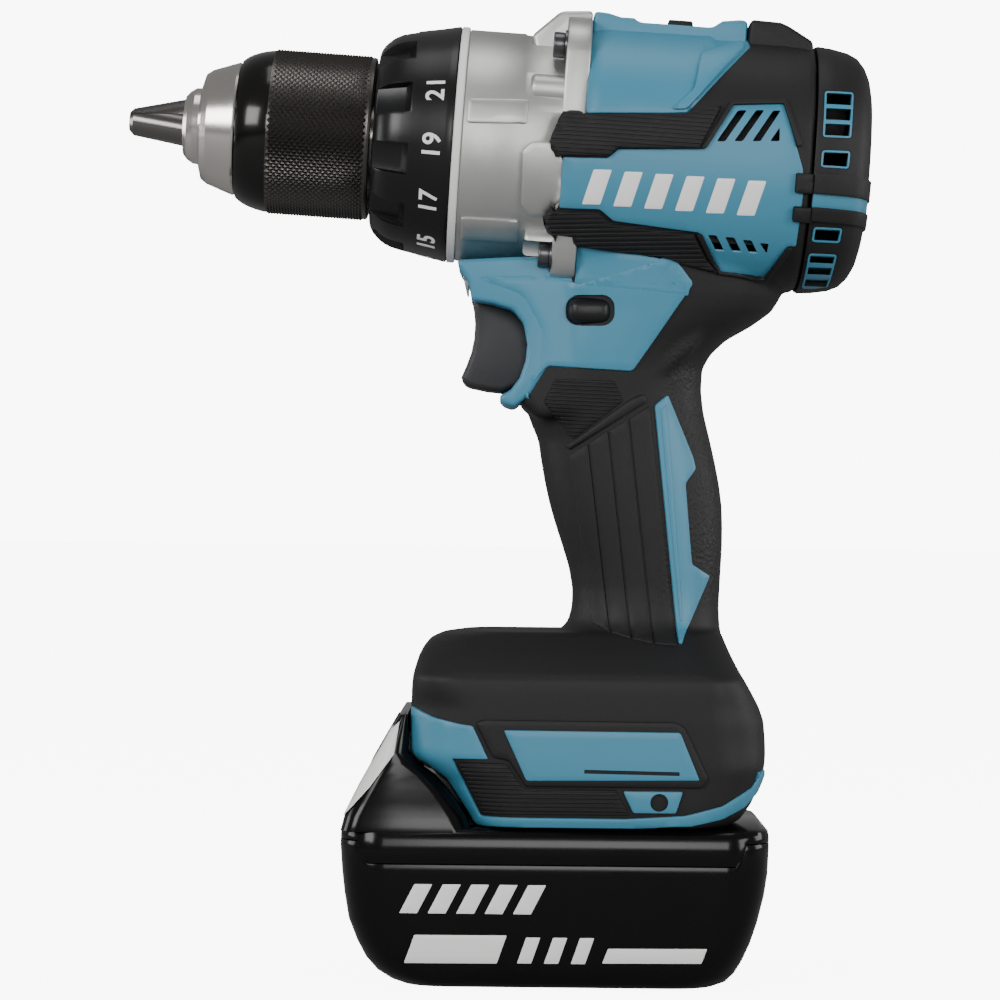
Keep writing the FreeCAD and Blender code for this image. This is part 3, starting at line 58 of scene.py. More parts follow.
HEAD_MATRIX = Matrix.Translation((9.7, 0.0, 227.2)) @ Matrix.Rotation(math.radians(3.6), 4, "Y")
PLACES = {Frame.TOOL: Matrix.Identity(4), Frame.HEAD: HEAD_MATRIX}


# ---------------------------------------------------------------- shader maths
class Value:
    """A socket that can be used in ordinary arithmetic."""

    def __init__(self, shader: "Shader", socket: bpy.types.NodeSocket) -> None:
        """Keeps the shader and the socket."""
        self.shader = shader
        self.socket = socket

    def _math(self, operation: str, first: object, second: object = 0.0) -> "Value":
        """Adds a Math node.

        Args:
            operation: the Math node's operation.
            first: number or Value.
            second: number or Value.

        Returns:
            The node's result.
        """
        return self.shader.node("ShaderNodeMath", {"operation": operation}, {0: first, 1: second})

    def __add__(self, other: object) -> "Value":
        """Sum."""
        return self._math("ADD", self, other)

    __radd__ = __add__

    def __sub__(self, other: object) -> "Value":
        """Difference."""
        return self._math("SUBTRACT", self, other)

    def __rsub__(self, other: object) -> "Value":
        """Difference, reflected."""
        return self._math("SUBTRACT", other, self)

    def __mul__(self, other: object) -> "Value":
        """Product."""
        return self._math("MULTIPLY", self, other)

    __rmul__ = __mul__

    def __truediv__(self, other: object) -> "Value":
        """Quotient."""
        return self._math("DIVIDE", self, other)

    def wave(self) -> "Value":
        """Sine of the value."""
        return self._math("SINE", self)

    def step(self, low: float, high: float) -> "Value":
        """Smooth step from 0 at low to 1 at high."""
        return self.shader.node("ShaderNodeMapRange", {"interpolation_type": "SMOOTHSTEP"},
                                {0: self, 1: low, 2: high, 3: 0.0, 4: 1.0})


class Shader:
    """A material under construction."""

    def __init__(self, name: str) -> None:
        """Starts an empty node material with a Principled shader."""
        self.material = bpy.data.materials.new(name)
        self.material.use_nodes = True
        self.tree = self.material.node_tree
        self.tree.nodes.clear()
        self.surface = self.tree.nodes.new("ShaderNodeBsdfPrincipled")
        output = self.tree.nodes.new("ShaderNodeOutputMaterial")
        self.tree.links.new(self.surface.outputs[0], output.inputs[0])

    def feed(self, socket: bpy.types.NodeSocket, value: object) -> None:
        """Puts a number, colour or Value on a socket."""
        if isinstance(value, Value):
            self.tree.links.new(value.socket, socket)
        else:
            socket.default_value = value

    def node(self, kind: str, settings: dict[str, object], inputs: dict[object, object],
             output: object = 0) -> Value:
        """Adds a node.

        Args:
            kind: the node's type.
            settings: properties set before its inputs.
            inputs: values or links by socket name or number.
            output: name or number of the output to return.

        Returns:
            The output as a Value.
        """
        made = self.tree.nodes.new(kind)
        for key, setting in settings.items():
            setattr(made, key, setting)
        for key, value in inputs.items():
            self.feed(made.inputs[key], value)
        return Value(self, made.outputs[output])

    def place(self) -> Value:
        """Object coordinates, in metres."""
        return self.node("ShaderNodeTexCoord", {}, {}, "Object")

    def noise(self, scale: float, detail: float = 3.0,
              stretch: tuple[float, float, float] = (1, 1, 1)) -> Value:
        """Noise of about 1/scale metres, stretched along the axes.

        Args:
            scale: cells per metre.
            detail: octaves.
            stretch: factors on X, Y and Z.

        Returns:
            A value around 0.5.
        """
        at = self.node("ShaderNodeMapping", {}, {"Vector": self.place(), "Scale": stretch})
        return self.node("ShaderNodeTexNoise", {},
                         {"Vector": at, "Scale": scale, "Detail": detail, "Roughness": 0.6})

    def mix(self, factor: Value, first: tuple[float, ...], second: tuple[float, ...]) -> Value:
        """Mixes two colours by a factor."""
        return self.node("ShaderNodeMix", {"data_type": "RGBA"}, {0: factor, 6: first, 7: second}, 2)

    def bump(self, height: Value, depth_mm: float, below: Optional[Value] = None) -> Value:
        """A bump of a depth in millimetres, over another if one is given."""
        inputs: dict[object, object] = {"Height": height, "Distance": depth_mm * MM, "Strength": 1.0}
        if below is not None:
            inputs["Normal"] = below
        return self.node("ShaderNodeBump", {}, inputs)


@dataclass(frozen=True)
class Ribs:
    """Parallel ribs: the direction across them in the tool's frame, their pitch and depth in millimetres."""

    across: tuple[float, float, float]
    pitch: float
    depth: float


@dataclass(frozen=True)
class Finish:
    """One surface finish, dressed with grain, tint and roughness that change over the surface."""

    name: str
    color: tuple[float, float, float]
    roughness: float
    metallic: float = 0.0
    spread: float = 0.10
    grain_mm: float = 0.35
    grain_depth: float = 0.02
    rough_spread: float = 0.08
    coat: float = 0.0
    specular: float = 0.5
    stretch: tuple[float, float, float] = (1.0, 1.0, 1.0)
    ribs: Optional[Ribs] = None
    leather: bool = False
    clear: float = 1.0

    def make(self) -> bpy.types.Material:
        """Builds the material.

        Returns:
            The node material.
        """
        shader = Shader(self.name)
        surface = shader.surface
        fine = shader.noise(1.0 / (self.grain_mm * MM), 2.0, self.stretch)
        broad = shader.noise(45.0, 4.0)
        tone = broad * 0.7 + fine * 0.3
        dark = tuple(c * (1 - self.spread) for c in self.color) + (1.0,)
        light = tuple(min(1.0, c * (1 + self.spread)) for c in self.color) + (1.0,)
        shader.feed(surface.inputs["Base Color"], shader.mix(tone, dark, light))
        rough = (tone - 0.5) * (2 * self.rough_spread) + self.roughness
        shader.feed(surface.inputs["Roughness"], rough)
        surface.inputs["Metallic"].default_value = self.metallic
        surface.inputs["Specular IOR Level"].default_value = self.specular
        surface.inputs["Coat Weight"].default_value = self.coat
        surface.inputs["Coat Roughness"].default_value = 0.06
        if self.clear < 1.0:
            surface.inputs["Transmission Weight"].default_value = 1 - self.clear
        relief = shader.bump(fine, self.grain_depth)
        if self.leather:
            cells = shader.node("ShaderNodeTexVoronoi", {"feature": "SMOOTH_F1"},
                                {"Vector": shader.place(), "Scale": 1150.0})
            split = shader.node("ShaderNodeSeparateXYZ", {}, {0: shader.place()})
            height = shader.node("ShaderNodeSeparateXYZ", {}, {0: shader.place()}, 2)
            zone = split.step(0.026, 0.031) * height.step(0.100, 0.108) * (1 - height.step(0.168, 0.180))
            relief = shader.bump(cells * zone, 0.22, relief)
        if self.ribs is not None:
            turn = 2 * math.pi / (self.ribs.pitch * MM)
            phase = shader.node("ShaderNodeVectorMath", {"operation": "DOT_PRODUCT"},
                                {0: shader.place(), 1: tuple(c * turn for c in self.ribs.across)}, "Value")
            relief = shader.bump(phase.wave().step(-0.9, 0.2), self.ribs.depth, relief)
        shader.feed(surface.inputs["Normal"], relief)
        return shader.material


@dataclass(frozen=True)
class Finishes:
    """Every finish of the drill."""

    blue: Finish = Finish("teal_moulding", (0.048, 0.215, 0.325), 0.42, grain_mm=0.25, grain_depth=0.008,
                          spread=0.05,
                          specular=0.4)
    rubber: Finish = Finish("soft_black_rubber", (0.008, 0.0078, 0.008), 0.55, grain_mm=0.22,
                            grain_depth=0.02,
                            spread=0.2, rough_spread=0.07, specular=0.3, leather=True)
    band: Finish = Finish("ribbed_black_rubber", (0.008, 0.0078, 0.008), 0.55, grain_mm=0.22,
                          grain_depth=0.015,
                          specular=0.3, ribs=Ribs((0.0628, 0.0, 0.998), 1.15, 0.22))
    low_band: Finish = Finish("ribbed_black_rubber_low", (0.008, 0.0078, 0.008), 0.55, grain_mm=0.22,
                              grain_depth=0.015, specular=0.3, ribs=Ribs((-0.0175, 0.0, 1.0), 1.15, 0.22))
    grip_ribs: Finish = Finish("ribbed_grip_rubber", (0.008, 0.0078, 0.008), 0.6, grain_mm=0.22,
                               grain_depth=0.02,
                               specular=0.3, ribs=Ribs((0.04, 0.0, 1.0), 1.05, 0.3))
    base_ribs: Finish = Finish("ribbed_base_rubber", (0.008, 0.0078, 0.008), 0.55, grain_mm=0.22,
                               specular=0.3,
                               ribs=Ribs((0.0, 0.0, 1.0), 1.15, 0.25))
    black: Finish = Finish("black_moulding", (0.008, 0.008, 0.009), 0.38, grain_mm=0.3, grain_depth=0.008,
                           spread=0.2,
                           specular=0.3)
    ring: Finish = Finish("ring_moulding", (0.0045, 0.0045, 0.005), 0.3, grain_mm=0.3, grain_depth=0.006,
                          spread=0.2,
                          specular=0.35)
    trigger: Finish = Finish("trigger_moulding", (0.022, 0.022, 0.024), 0.45, grain_mm=0.25,
                             grain_depth=0.012,
                             spread=0.15, specular=0.35)
    gloss: Finish = Finish("gloss_black_moulding", (0.0022, 0.0022, 0.0026), 0.16, grain_mm=2.0,
                           grain_depth=0.003,
                           rough_spread=0.04, spread=0.3, specular=0.22)
    cast: Finish = Finish("bead_blasted_aluminium", (0.50, 0.50, 0.485), 0.40, metallic=0.92, grain_mm=0.28,
                          grain_depth=0.05, spread=0.14)
    steel: Finish = Finish("turned_steel", (0.66, 0.63, 0.60), 0.2, metallic=1.0, grain_mm=0.25,
                           grain_depth=0.006,
                           spread=0.08, stretch=(6.0, 1.0, 1.0), rough_spread=0.1)
    dark_steel: Finish = Finish("blackened_steel", (0.10, 0.10, 0.105), 0.3, metallic=0.9, grain_mm=0.4,
                                spread=0.2)
    jaw: Finish = Finish("hardened_steel", (0.17, 0.162, 0.155), 0.24, metallic=1.0, grain_mm=0.3,
                         grain_depth=0.008,
                         spread=0.15, rough_spread=0.08)
    knurl: Finish = Finish("black_oxide", (0.085, 0.08, 0.075), 0.3, metallic=0.95, grain_mm=0.4,
                           grain_depth=0.006,
                           spread=0.15)
    collar: Finish = Finish("polished_black_oxide", (0.03, 0.029, 0.028), 0.16, metallic=0.9, grain_mm=0.8,
                            grain_depth=0.003, spread=0.15, rough_spread=0.03)
    white: Finish = Finish("white_ink", (0.80, 0.80, 0.79), 0.45, grain_mm=0.5, grain_depth=0.004,
                           spread=0.02)
    pale: Finish = Finish("pale_moulding", (0.74, 0.74, 0.72), 0.4, grain_mm=0.4, grain_depth=0.008,
                          spread=0.03)
    lens: Finish = Finish("clear_lens", (0.9, 0.92, 0.9), 0.08, grain_mm=1.2, grain_depth=0.02, clear=0.25,
                          spread=0.03)
    copper: Finish = Finish("enamelled_copper", (0.55, 0.2, 0.08), 0.35, metallic=0.9, grain_mm=0.5,
                            spread=0.2)
    brass: Finish = Finish("brass", (0.75, 0.55, 0.24), 0.3, metallic=1.0, grain_mm=0.4, spread=0.1)
    board: Finish = Finish("circuit_board", (0.02, 0.12, 0.05), 0.4, grain_mm=0.8, spread=0.2)
    sleeve: Finish = Finish("cell_sleeve", (0.03, 0.16, 0.35), 0.3, grain_mm=0.8, spread=0.15)


# ---------------------------------------------------------------- modelling by operators
def deselect() -> None:
    """Leaves edit mode and deselects every object."""
    if bpy.context.object is not None and bpy.context.object.mode != "OBJECT":
        bpy.ops.object.mode_set(mode="OBJECT")
    bpy.ops.object.select_all(action="DESELECT")


def take(piece: bpy.types.Object) -> bpy.types.Object:
    """Makes a piece the only selected and active object."""
    deselect()
    piece.select_set(True)
    bpy.context.view_layer.objects.active = piece
    return piece


def mesh_piece(name: str, points: Iterable[Vector], faces: Sequence[Sequence[int]],
               edges: Sequence[tuple[int, int]] = ()) -> bpy.types.Object:
    """A new object from points in millimetres of the tool's frame.

    Args:
        name: the piece's name.
        points: corners.
        faces: corner numbers of each face.
        edges: corner numbers of loose edges.

    Returns:
        The object, selected and active.
    """
    mesh = bpy.data.meshes.new(name)
    mesh.from_pydata([tuple(Vector(p) * MM) for p in points], list(edges), [list(f) for f in faces])
    mesh.update()
    piece = bpy.data.objects.new(name, mesh)
    bpy.context.collection.objects.link(piece)
    return take(piece)


def modify(piece: bpy.types.Object, kind: str, **settings: object) -> bpy.types.Object:
    """Adds a modifier and applies it.

    Args:
        piece: the object.
        kind: the modifier's type.
        settings: its properties.

    Returns:
        The same object.
    """
    take(piece)
    modifier = piece.modifiers.new(kind.lower(), kind)
    for key, setting in settings.items():
        setattr(modifier, key, setting)
    bpy.ops.object.modifier_apply(modifier=modifier.name)
    return piece


def cut_away(piece: bpy.types.Object, cutter: bpy.types.Object,
             operation: str = "DIFFERENCE") -> bpy.types.Object:
    """A boolean with another object, which is deleted.

    Args:
        piece: the object that stays.
        cutter: the other object.
        operation: DIFFERENCE, UNION or INTERSECT.

    Returns:
        The object that stays.
    """
    modify(piece, "BOOLEAN", object=cutter, operation=operation, solver="EXACT")
    bpy.data.objects.remove(cutter, do_unlink=True)
    return piece


def tidy_mesh(piece: bpy.types.Object, merge_mm: float = 0.005) -> bpy.types.Object:
    """Merges doubled corners and turns the faces outwards."""
    take(piece)
    bpy.ops.object.mode_set(mode="EDIT")
    bpy.ops.mesh.select_all(action="SELECT")
    bpy.ops.mesh.remove_doubles(threshold=merge_mm * MM)
    bpy.ops.mesh.normals_make_consistent(inside=False)
    bpy.ops.object.mode_set(mode="OBJECT")
    return piece


def soften(piece: bpy.types.Object, width_mm: float = 0.4, segments: int = 2,
           angle: float = 30.0) -> bpy.types.Object:
    """Bevels the sharp edges of a piece."""
    return modify(piece, "BEVEL", width=width_mm * MM, segments=segments, limit_method="ANGLE",
                  angle_limit=math.radians(angle), harden_normals=False, use_clamp_overlap=True)


def dress(piece: bpy.types.Object, finish: bpy.types.Material, body: str,
          smooth: float = 32.0) -> bpy.types.Object:
    """Gives a piece its finish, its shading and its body.

    Args:
        piece: the object.
        finish: material.
        body: the CAD body that it moves with.
        smooth: edges sharper than this many degrees stay sharp.

    Returns:
        The same object.
    """
    take(piece)
    piece.data.materials.clear()
    piece.data.materials.append(finish)
    bpy.ops.object.shade_smooth_by_angle(angle=math.radians(smooth))
    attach(piece, body)
    LOG.info("%s: %d faces on %s", piece.name, len(piece.data.polygons), body)
    return piece


def prism(name: str, outline: Outline, low: float, high: float,
          frame: Frame = Frame.TOOL) -> bpy.types.Object:
    """A side outline extruded across Y with the extrude operator.

    Args:
        name: the piece's name.
        outline: corners along and up, in millimetres.
        low: Y at one end.
        high: Y at the other end.
        frame: the frame of the outline.

    Returns:
        A closed piece.
    """
    place = PLACES[frame]
    piece = mesh_piece(name, [place @ Vector((x, low, z)) for x, z in outline], [range(len(outline))])
    bpy.ops.object.mode_set(mode="EDIT")
    bpy.ops.mesh.select_all(action="SELECT")
    bpy.ops.mesh.extrude_region_move(TRANSFORM_OT_translate={"value": (0.0, (high - low) * MM, 0.0)})
    bpy.ops.mesh.select_all(action="SELECT")
    bpy.ops.mesh.normals_make_consistent(inside=False)
    bpy.ops.object.mode_set(mode="OBJECT")
    return piece


def turned(name: str, profile: Outline, steps: int = 144, closed: bool = True) -> bpy.types.Object:
    """A profile spun about the head's axis with the spin operator.

    Args:
        name: the piece's name.
        profile: (a, radius) corners.
        steps: faces around.
        closed: whether the profile's last corner joins its first.

    Returns:
        The piece, in the tool's frame.
    """
    count = len(profile)
    edges = [(i, (i + 1) % count) for i in range(count if closed else count - 1)]
    piece = mesh_piece(name, [Vector((a, 0.0, max(r, 0.0))) for a, r in profile], [], edges)
    bpy.ops.object.mode_set(mode="EDIT")
    bpy.ops.mesh.select_all(action="SELECT")
    bpy.ops.mesh.spin(steps=steps, angle=2 * math.pi, center=(0, 0, 0), axis=(1, 0, 0))
    bpy.ops.mesh.select_all(action="SELECT")
    bpy.ops.mesh.remove_doubles(threshold=1e-6)
    bpy.ops.mesh.normals_make_consistent(inside=False)
    bpy.ops.object.mode_set(mode="OBJECT")
    return to_head(piece)


def to_head(piece: bpy.types.Object) -> bpy.types.Object:
    """Moves a mesh from the head's frame to the tool's frame."""
    scale = Matrix.Scale(MM, 4)
    piece.data.transform(scale @ HEAD_MATRIX @ scale.inverted())
    return piece


def loft(name: str, rings: Sequence[Sequence[Vector]]) -> bpy.types.Object:
    """A closed piece through rings of as many corners each, with flat ends.

    Args:
        name: the piece's name.
        rings: rings of corners in millimetres.

    Returns:
        The piece.
    """
    count = len(rings[0])
    faces = [(k * count + i, k * count + (i + 1) % count, (k + 1) * count + (i + 1) % count,
              (k + 1) * count + i)
             for k in range(len(rings) - 1) for i in range(count)]
    faces += [tuple(range(count)), tuple((len(rings) - 1) * count + i for i in range(count))]
    return tidy_mesh(mesh_piece(name, [p for ring in rings for p in ring], faces))


def oval(front: float, back: float, half: float, z: float, power: float = 2.3,
         count: int = 72) -> list[Vector]:
    """A squarish oval in plan at one height."""
    ring = []
    for i in range(count):
        t = 2 * math.pi * i / count
        c, s = math.cos(t), math.sin(t)
        ring.append(Vector(((front + back) / 2 + (back - front) / 2 * math.copysign(abs(c) ** (2 / power), c),
                            half * math.copysign(abs(s) ** (2 / power), s), z)))
    return ring


def slab_ring(front: float, back: float, half: float, z: float, corner: float,
              count: int = 10) -> list[Vector]:
    """A rectangle with round corners in plan at one height.

    Args:
        front: lowest X.
        back: highest X.
        half: half width in Y.
        z: height.
        corner: corner radius.
        count: steps in each corner.

    Returns:
        The ring's corners.
    """
    corner = min(corner, half - 0.01, (back - front) / 2 - 0.01)
    ring = []
    for k, (cx, cy) in enumerate(((back - corner, half - corner), (front + corner, half - corner),
                                  (front + corner, corner - half), (back - corner, corner - half))):
        for i in range(count + 1):
            t = math.pi / 2 * (k + i / count)
            ring.append(Vector((cx + corner * math.cos(t), cy + corner * math.sin(t), z)))
    return ring


def rounded(outline: Outline, radius: float, step: float = 1.2) -> list[Vector]:
    """An outline with its corners rounded and its sides divided.

    Args:
        outline: corners.
        radius: corner radius, in millimetres.
        step: longest side.

    Returns:
        Points around the outline, anticlockwise.
    """
    points = [Vector((x, z)) for x, z in outline]
    area = sum(p.x * q.y - q.x * p.y for p, q in zip(points, points[1:] + points[:1]))
    if area < 0:
        points.reverse()
    soft: list[Vector] = []
    count = len(points)
    for i, corner in enumerate(points):
        before, after = points[i - 1] - corner, points[(i + 1) % count] - corner
        reach = min(radius, before.length * 0.45, after.length * 0.45)
        start, end = corner + before.normalized() * reach, corner + after.normalized() * reach
        for k in range(5):
            t = k / 4
            soft.append(start * (1 - t) ** 2 + corner * (2 * t * (1 - t)) + end * t ** 2)
    dense: list[Vector] = []
    for p, q in zip(soft, soft[1:] + soft[:1]):
        gap = (q - p).length
        if gap < 0.02:
            continue
        parts = max(1, math.ceil(gap / step))
        dense += [p.lerp(q, k / parts) for k in range(parts)]
    return dense


def inset(loop: Sequence[Vector], depth: float) -> list[Vector]:
    """A loop moved inwards by a small depth."""
    moved = []
    count = len(loop)
    for i, point in enumerate(loop):
        along = (loop[(i + 1) % count] - loop[i - 1]).normalized()
        moved.append(point + Vector((-along.y, along.x)) * depth)
    return moved


def inside(point: Vector, loop: Sequence[Vector]) -> bool:
    """Whether a point is inside a loop."""
    hit = False
    for p, q in zip(loop, list(loop[1:]) + [loop[0]]):
        if (p.y > point.y) != (q.y > point.y) and point.x < (q.x - p.x) * (point.y - p.y) / (q.y - p.y) + p.x:
            hit = not hit
    return hit


class Skin:
    """The body's outside, on which raised panels are laid."""

    def __init__(self, core: bpy.types.Object) -> None:
        """Keeps the core's surface."""
        graph = bpy.context.evaluated_depsgraph_get()
        self.tree = BVHTree.FromObject(core, graph)

    def touch(self, x: float, z: float, side: Side) -> tuple[Vector, Vector]:
        """Where a line across the tool meets the body.

        Args:
            x: X in millimetres.
            z: Z in millimetres.
            side: the side it comes from.

        Returns:
            The point and the outward normal, in millimetres.
        """
        start = Vector((x * MM, side.value * 0.2, z * MM))
        point, normal, _, _ = self.tree.ray_cast(start, Vector((0, -side.value, 0)))
        if point is None or point.y * side.value < 0.0:
            point, normal, _, _ = self.tree.find_nearest(Vector((x * MM, side.value * 0.033, z * MM)))
        return point / MM, normal

    def panel(self, name: str, outline: Outline, lift: float, side: Side, frame: Frame = Frame.TOOL,
              edge: float = 0.35, corner: float = 0.8, spacing: float = 1.6, sink: float = 1.2,
              shape: Optional[Callable[[float, float], float]] = None) -> bpy.types.Object:
        """A raised panel with a rounded edge, laid on the body's side.

        Args:
            name: the piece's name.
            outline: corners along and up in the frame's side view.
            lift: height above the body, in millimetres.
            side: the side of the tool.
            frame: frame of the outline.
            edge: radius of the edge.
            corner: radius of the outline's corners.
            spacing: distance between inner points.
            sink: how far the panel reaches under the body's surface.
            shape: extra height at a point of the frame's side view.

        Returns:
            The closed piece.
        """
        loop = rounded(outline, corner)
        place = PLACES[frame]
        inner = inset(loop, edge)
        low = Vector((min(p.x for p in loop), min(p.y for p in loop)))
        high = Vector((max(p.x for p in loop), max(p.y for p in loop)))
        guard = inset(loop, edge + spacing * 0.45)
        grid = [Vector((low.x + spacing * i, low.y + spacing * j))
                for i in range(1, int((high.x - low.x) / spacing) + 1)
                for j in range(1, int((high.y - low.y) / spacing) + 1)]
        grid = [p for p in grid if inside(p, guard)]
        count = len(loop)
        verts, _, tris, _, _, _ = delaunay_2d_cdt(inner + grid,
                                                  [(i, (i + 1) % count) for i in range(count)], [], 1, 1e-5)
        points: list[Vector] = []

        def put(p: Vector, height: float) -> None:
            """Adds the point at a height above the body."""
            at = place @ Vector((p.x, 0.0, p.y))
            spot, normal = self.touch(at.x, at.z, side)
            extra = shape(p.x, p.y) if shape is not None and height > 0 else 0.0
            points.append(spot + normal * (height + extra))

        for loop_points, height in ((loop, -sink), (loop, lift - edge),
                                    (inset(loop, edge * 0.3), lift - edge * 0.3)):
            for p in loop_points:
                put(p, height)
        top = len(points)
        for p in verts:
            put(p, lift)
        bottom = len(points)
        for p in verts:
            put(p, -sink)
        faces: list[tuple[int, ...]] = []
        for level in range(2):
            faces += [(level * count + i, level * count + (i + 1) % count,
                       (level + 1) * count + (i + 1) % count,
                       (level + 1) * count + i) for i in range(count)]
        faces += [(2 * count + i, 2 * count + (i + 1) % count, top + (i + 1) % count, top + i)
                  for i in range(count)]
        faces += [(i, (i + 1) % count, bottom + (i + 1) % count, bottom + i) for i in range(count)]
        faces += [tuple(top + i for i in tri) for tri in tris]
        faces += [tuple(bottom + i for i in reversed(tri)) for tri in tris]
        return tidy_mesh(mesh_piece(name, points, faces), 0.0005)


def both_sides(build: Callable[[Side, str], None]) -> None:
    """Calls a builder for the left and the right side with a name ending."""
    for side in Side:
        build(side, side.name.lower())


# ---------------------------------------------------------------- stage
@dataclass
class Studio:
    """Floor, lights and camera."""

    distance: float = 0.970
    centre: tuple[float, float] = (-0.0162, 0.1312)
    focal: float = 125.7
    roll: float = 0.6
    ambient: float = 0.28
    backdrop: float = 9.0
    floor_glow: float = 8.2

    def build(self) -> None:
        """Lays the floor, hangs the lights and sets the camera."""
        deselect()
        bpy.ops.mesh.primitive_plane_add(size=1.0, location=(0, 0, 0))
        floor = bpy.context.object
        floor.name = "studio_floor"
        floor.scale = (12, 12, 1)
        floor.location = (0, 3.0, -0.0004)
        floor.data.materials.append(self._floor_finish())
        self._surroundings()
        self._light("key_light", (-0.85, -0.95, 0.6), (0, 0, 0.16), 0.5, 9.5)
        self._light("front_light", (0.05, -1.25, 0.42), (0, 0, 0.18), 0.4, 4.5)
        self._light("right_fill", (0.95, -0.85, 0.4), (0, 0, 0.15), 0.5, 6.5)
        self._light("top_light", (0.0, -0.1, 1.1), (0, 0, 0.2), 0.5, 2.2)
        self._light("left_rim", (-1.0, 0.1, 0.3), (0, 0, 0.14), 0.4, 3.0)
        self._light("right_rim", (1.0, 0.1, 0.3), (0, 0, 0.14), 0.4, 3.0)
        eye = bpy.data.cameras.new("view")
        eye.lens = self.focal
        eye.sensor_width = 36.0
        eye.clip_start = 0.05
        camera = bpy.data.objects.new("view", eye)
        bpy.context.collection.objects.link(camera)
        turn = Matrix.Rotation(math.radians(-self.roll), 4, "Y")
        camera.matrix_world = (Matrix.Translation((self.centre[0], -self.distance, self.centre[1])) @ turn
                               @ Matrix.Rotation(math.radians(90), 4, "X"))
        bpy.context.scene.camera = camera

    def _floor_finish(self) -> bpy.types.Material:
        """A pale floor that glows for the eye but lights the object only dimly."""
        shader = Shader("studio_floor")
        tone = shader.noise(3.0, 2.0)
        shader.feed(shader.surface.inputs["Base Color"],
                    shader.mix(tone, (0.80, 0.80, 0.80, 1), (0.84, 0.84, 0.84, 1)))
        shader.surface.inputs["Roughness"].default_value = 0.8
        shader.surface.inputs["Specular IOR Level"].default_value = 0.1
        shader.surface.inputs["Emission Color"].default_value = (1.0, 1.0, 1.0, 1.0)
        tree = shader.tree
        dim = tree.nodes.new("ShaderNodeBsdfDiffuse")
        dim.inputs["Color"].default_value = (0.35, 0.35, 0.35, 1.0)
        seen = tree.nodes.new("ShaderNodeLightPath")
        blend = tree.nodes.new("ShaderNodeMixShader")
        shader.surface.inputs["Emission Strength"].default_value = self.floor_glow
        tree.links.new(seen.outputs["Is Camera Ray"], blend.inputs[0])
        tree.links.new(dim.outputs[0], blend.inputs[1])
        tree.links.new(shader.surface.outputs[0], blend.inputs[2])
        output = next(node for node in tree.nodes if node.type == "OUTPUT_MATERIAL")
        tree.links.new(blend.outputs[0], output.inputs[0])
        return shader.material

    def _surroundings(self) -> None:
        """A white backdrop that gives only a dim, even light."""
        world = bpy.data.worlds.new("studio")
        bpy.context.scene.world = world
        world.use_nodes = True
        tree = world.node_tree
        seen = tree.nodes.new("ShaderNodeLightPath")
        level = tree.nodes.new("ShaderNodeMapRange")
        level.inputs["To Min"].default_value = self.ambient
        level.inputs["To Max"].default_value = self.backdrop
        tree.links.new(seen.outputs["Is Camera Ray"], level.inputs["Value"])
        background = tree.nodes["Background"]
        background.inputs["Color"].default_value = (1.0, 1.0, 1.0, 1.0)
        tree.links.new(level.outputs[0], background.inputs["Strength"])

    def _light(self, name: str, place: tuple[float, float, float], aim: tuple[float, float, float],
               size: float,
               power: float) -> None:
        """Adds one soft area light.

        Args:
            name: its name.
            place: where it hangs.
            aim: the point that it faces.
            size: its side, in metres.
            power: watts.
        """
        lamp = bpy.data.lights.new(name, "AREA")
        lamp.size = size
        lamp.energy = power
        light = bpy.data.objects.new(name, lamp)
        bpy.context.collection.objects.link(light)
        light.location = place
        light.rotation_euler = (Vector(aim) - Vector(place)).to_track_quat("-Z", "Y").to_euler()


